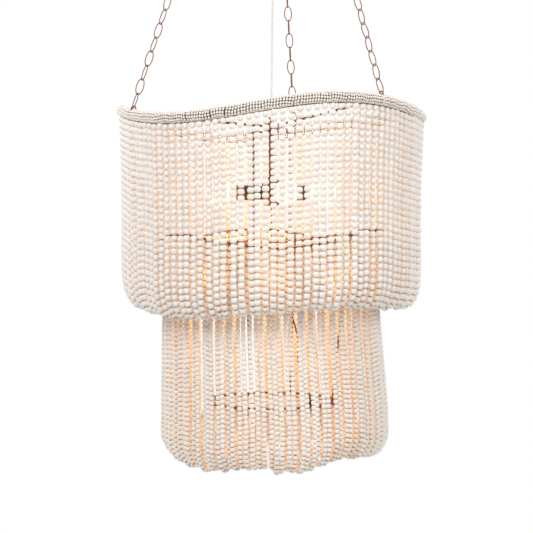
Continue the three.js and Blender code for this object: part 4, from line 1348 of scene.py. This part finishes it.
def make_lamps():
    """A socket and a bulb, standing straight out from the lamp body, four times round it."""
    socket, base, glass = model_socket(), model_screw_base(), model_bulb_glass()
    for i in range(LAMP_COUNT):
        out = lamp_direction(i)
        matrix = turn_to(out, Vector((0, 0, LAMP_HEIGHT)) + out * (LAMP_BODY_RADIUS + SEAT_GAP))
        holder, bulb = f"lamp_socket_{i + 1}", f"bulb_{i + 1}"
        dress(copy_of(socket, matrix), holder + "_ribbed", "chandelier", [holder], "socket_plastic",
              SOCKET_PLASTIC)
        dress(copy_of(base, matrix), bulb + "_screw_base", bulb + "_body", [bulb], "bulb_glass", BRASS)
        dress(copy_of(glass, matrix), bulb + "_glass", bulb + "_body", [bulb], "bulb_glass", BULB_GLASS)
    for model in (socket, base, glass):
        remove(model)


make_lamps()


# Lower lead

LEAD_RADIUS = 0.0014
LEAD_TOP = -0.95135
LEAD_FOOT = -1.28515
LEAD_ROUTE = [
    (0, 0, LEAD_TOP), (0, 0, LEAD_TOP - 0.014), (0, 0, LEAD_TOP - 0.04), (0, 0, LEAD_TOP - 0.072),
    (0.0015, -0.001, LEAD_TOP - 0.1), (0.008, -0.005, LEAD_TOP - 0.128), (0.02, -0.01, LEAD_TOP - 0.158),
    (0.034, -0.017, LEAD_TOP - 0.188), (0.043, -0.026, LEAD_TOP - 0.216), (0.045, -0.036, LEAD_TOP - 0.242),
    (0.046, -0.048, LEAD_TOP - 0.268), (0.052, -0.062, LEAD_TOP - 0.292), (0.06, -0.076, LEAD_TOP - 0.312),
    (0.0654, -0.0846, LEAD_TOP - 0.325), (0.0662, -0.0863, LEAD_FOOT + 0.003), (0.0662, -0.0863, LEAD_FOOT),
]
CLIP_SIZE = (0.009, 0.007, 0.0095)


def make_lead_clip():
    """The small dark clamp that holds the lead's end on the lower ring."""
    clear_selection()
    foot_x, foot_y, foot_z = LEAD_ROUTE[-1]
    bpy.ops.mesh.primitive_cube_add(size=1)
    clip = bpy.context.object
    clip.scale = CLIP_SIZE
    place(clip)
    apply_bevel(clip, 0.0008)
    turn = Matrix.Rotation(math.atan2(foot_y, foot_x), 4, "Z")
    place(clip, Matrix.Translation(Vector((foot_x, foot_y, foot_z + CLIP_SIZE[2] / 2))) @ turn)
    dress(clip, "lead_clip", "chandelier", [], "socket_plastic", SOCKET_PLASTIC)


def make_lower_lead():
    """The braided lead from under the lamps, through the plate, to the clamp."""
    lead = as_mesh(bent_wire(LEAD_ROUTE, LEAD_RADIUS))
    dress(lead, "lower_lead_braided", "chandelier", ["lower_lead"], "brown_lead", BROWN_LEAD)


make_lower_lead()
make_lead_clip()


# Solids that keep their own shape

for node_name, material in (("mounting_strap", GALVANISED), ("eye_nut", GALVANISED)):
    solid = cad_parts[node_name]
    solid.data.materials.clear()
    solid.data.materials.append(material)


# Floor, world and lamps

FLOOR_HEIGHT = -2.3
FLOOR_SIZE = 2.6
SOFT_SKY = 0.32
LIGHT_AIM = (0, 0, -1.0)
# Each soft lamp's place, size and power
SOFT_LAMPS = {
    "front_left_softbox": ((-1.5, -2.2, 0.6), 1.5, 44.5),
    "front_right_softbox": ((1.8, -1.8, 0.1), 1.4, 27),
    "back_left_softbox": ((-2.0, 1.9, 0.2), 1.6, 20),
    "back_right_softbox": ((1.9, 2.0, 0.2), 1.6, 20),
}
BULB_LIGHT = (1.0, 0.5, 0.17)
DEEP_BULB_LIGHT = (1.0, 0.45, 0.1)
BULB_GLOW = 0.36
BULB_GLOW_RADIUS = 0.1
BULB_GLOW_DROP = 0.03
GLOW_SIZE = 0.03
LOWER_GLOW = 0.7
LOWER_GLOW_HEIGHT = -1.18
# What the beads pass on of the bulbs' light into the hollow behind each tier's belly: radius, height, power
HOLLOW_GLOWS = {
    "upper": (0.222, -1.06, 0.022),
    "lower": (0.155, -1.33, 0.01),
}
HOLLOW_LIGHTS = 12
HOLLOW_GLOW_SIZE = 0.015


def add_floor():
    """A pale round floor well below the lower tier."""
    clear_selection()
    bpy.ops.mesh.primitive_circle_add(vertices=64, radius=FLOOR_SIZE, fill_type="NGON",
                                      location=(0, 0, FLOOR_HEIGHT))
    floor = bpy.context.object
    floor.name = "floor"
    material, tree, shader = bare_material("pale_floor")
    tone = place_effect(tree, DRIFTING_TONE,
                        {"Light": srgb(246, 245, 243), "Dark": srgb(240, 239, 236), "Patch Scale": 2.0})
    tree.links.new(tone.outputs["Colour"], shader.inputs["Base Color"])
    shader.inputs["Roughness"].default_value = 0.9
    floor.data.materials.append(material)


def light_world():
    """White to the eye, in glass and on metal, and a softer light on everything else."""
    world = bpy.data.worlds.new("studio")
    bpy.context.scene.world = world
    world.use_nodes = True
    tree = world.node_tree
    tree.nodes.clear()
    path = node(tree, "ShaderNodeLightPath")
    seen = node(tree, "ShaderNodeMath",
                {0: path.outputs["Is Camera Ray"], 1: path.outputs["Is Glossy Ray"]}, operation="MAXIMUM")
    white = node(tree, "ShaderNodeMath",
                 {0: seen.outputs[0], 1: path.outputs["Is Transmission Ray"]}, operation="MAXIMUM")
    strength = node(tree, "ShaderNodeMapRange",
                    {"Value": white.outputs[0], "To Min": SOFT_SKY, "To Max": 1.0})
    sky = node(tree, "ShaderNodeBackground", {"Color": (1, 1, 1), "Strength": strength.outputs["Result"]})
    end = node(tree, "ShaderNodeOutputWorld")
    tree.links.new(sky.outputs[0], end.inputs["Surface"])


def add_light(name, kind, location, power):
    """A lamp of this kind in its place."""
    light = bpy.data.lights.new(name, kind)
    light.energy = power
    lamp = bpy.data.objects.new(name, light)
    bpy.context.collection.objects.link(lamp)
    lamp.location = location
    return lamp


def add_soft_lamp(name, location, size, power):
    """A large square lamp that faces the middle of the beads."""
    lamp = add_light(name, "AREA", location, power)
    lamp.data.size = size
    lamp.rotation_euler = (Vector(LIGHT_AIM) - Vector(location)).to_track_quat("-Z", "Y").to_euler()


def add_glow(name, location, power, colour, size):
    """Warm light from a small round source."""
    lamp = add_light(name, "POINT", location, power)
    lamp.data.color = colour
    lamp.data.shadow_soft_size = size


add_floor()
light_world()
for name, (location, size, power) in SOFT_LAMPS.items():
    add_soft_lamp(name, location, size, power)
for i in range(LAMP_COUNT):
    spot = lamp_direction(i) * BULB_GLOW_RADIUS + UP * (LAMP_HEIGHT - BULB_GLOW_DROP)
    add_glow(f"bulb_{i + 1}_glow", spot, BULB_GLOW, BULB_LIGHT, GLOW_SIZE)
add_glow("lower_tier_glow", (0, 0, LOWER_GLOW_HEIGHT), LOWER_GLOW, DEEP_BULB_LIGHT, GLOW_SIZE)
for name, (radius, height, power) in HOLLOW_GLOWS.items():
    for i in range(HOLLOW_LIGHTS):
        angle = i * FULL_TURN / HOLLOW_LIGHTS
        spot = (radius * math.cos(angle), radius * math.sin(angle), height)
        add_glow(f"{name}_hollow_glow_{i + 1}", spot, power, DEEP_BULB_LIGHT, HOLLOW_GLOW_SIZE)

bpy.context.scene.view_settings.view_transform = "Standard"
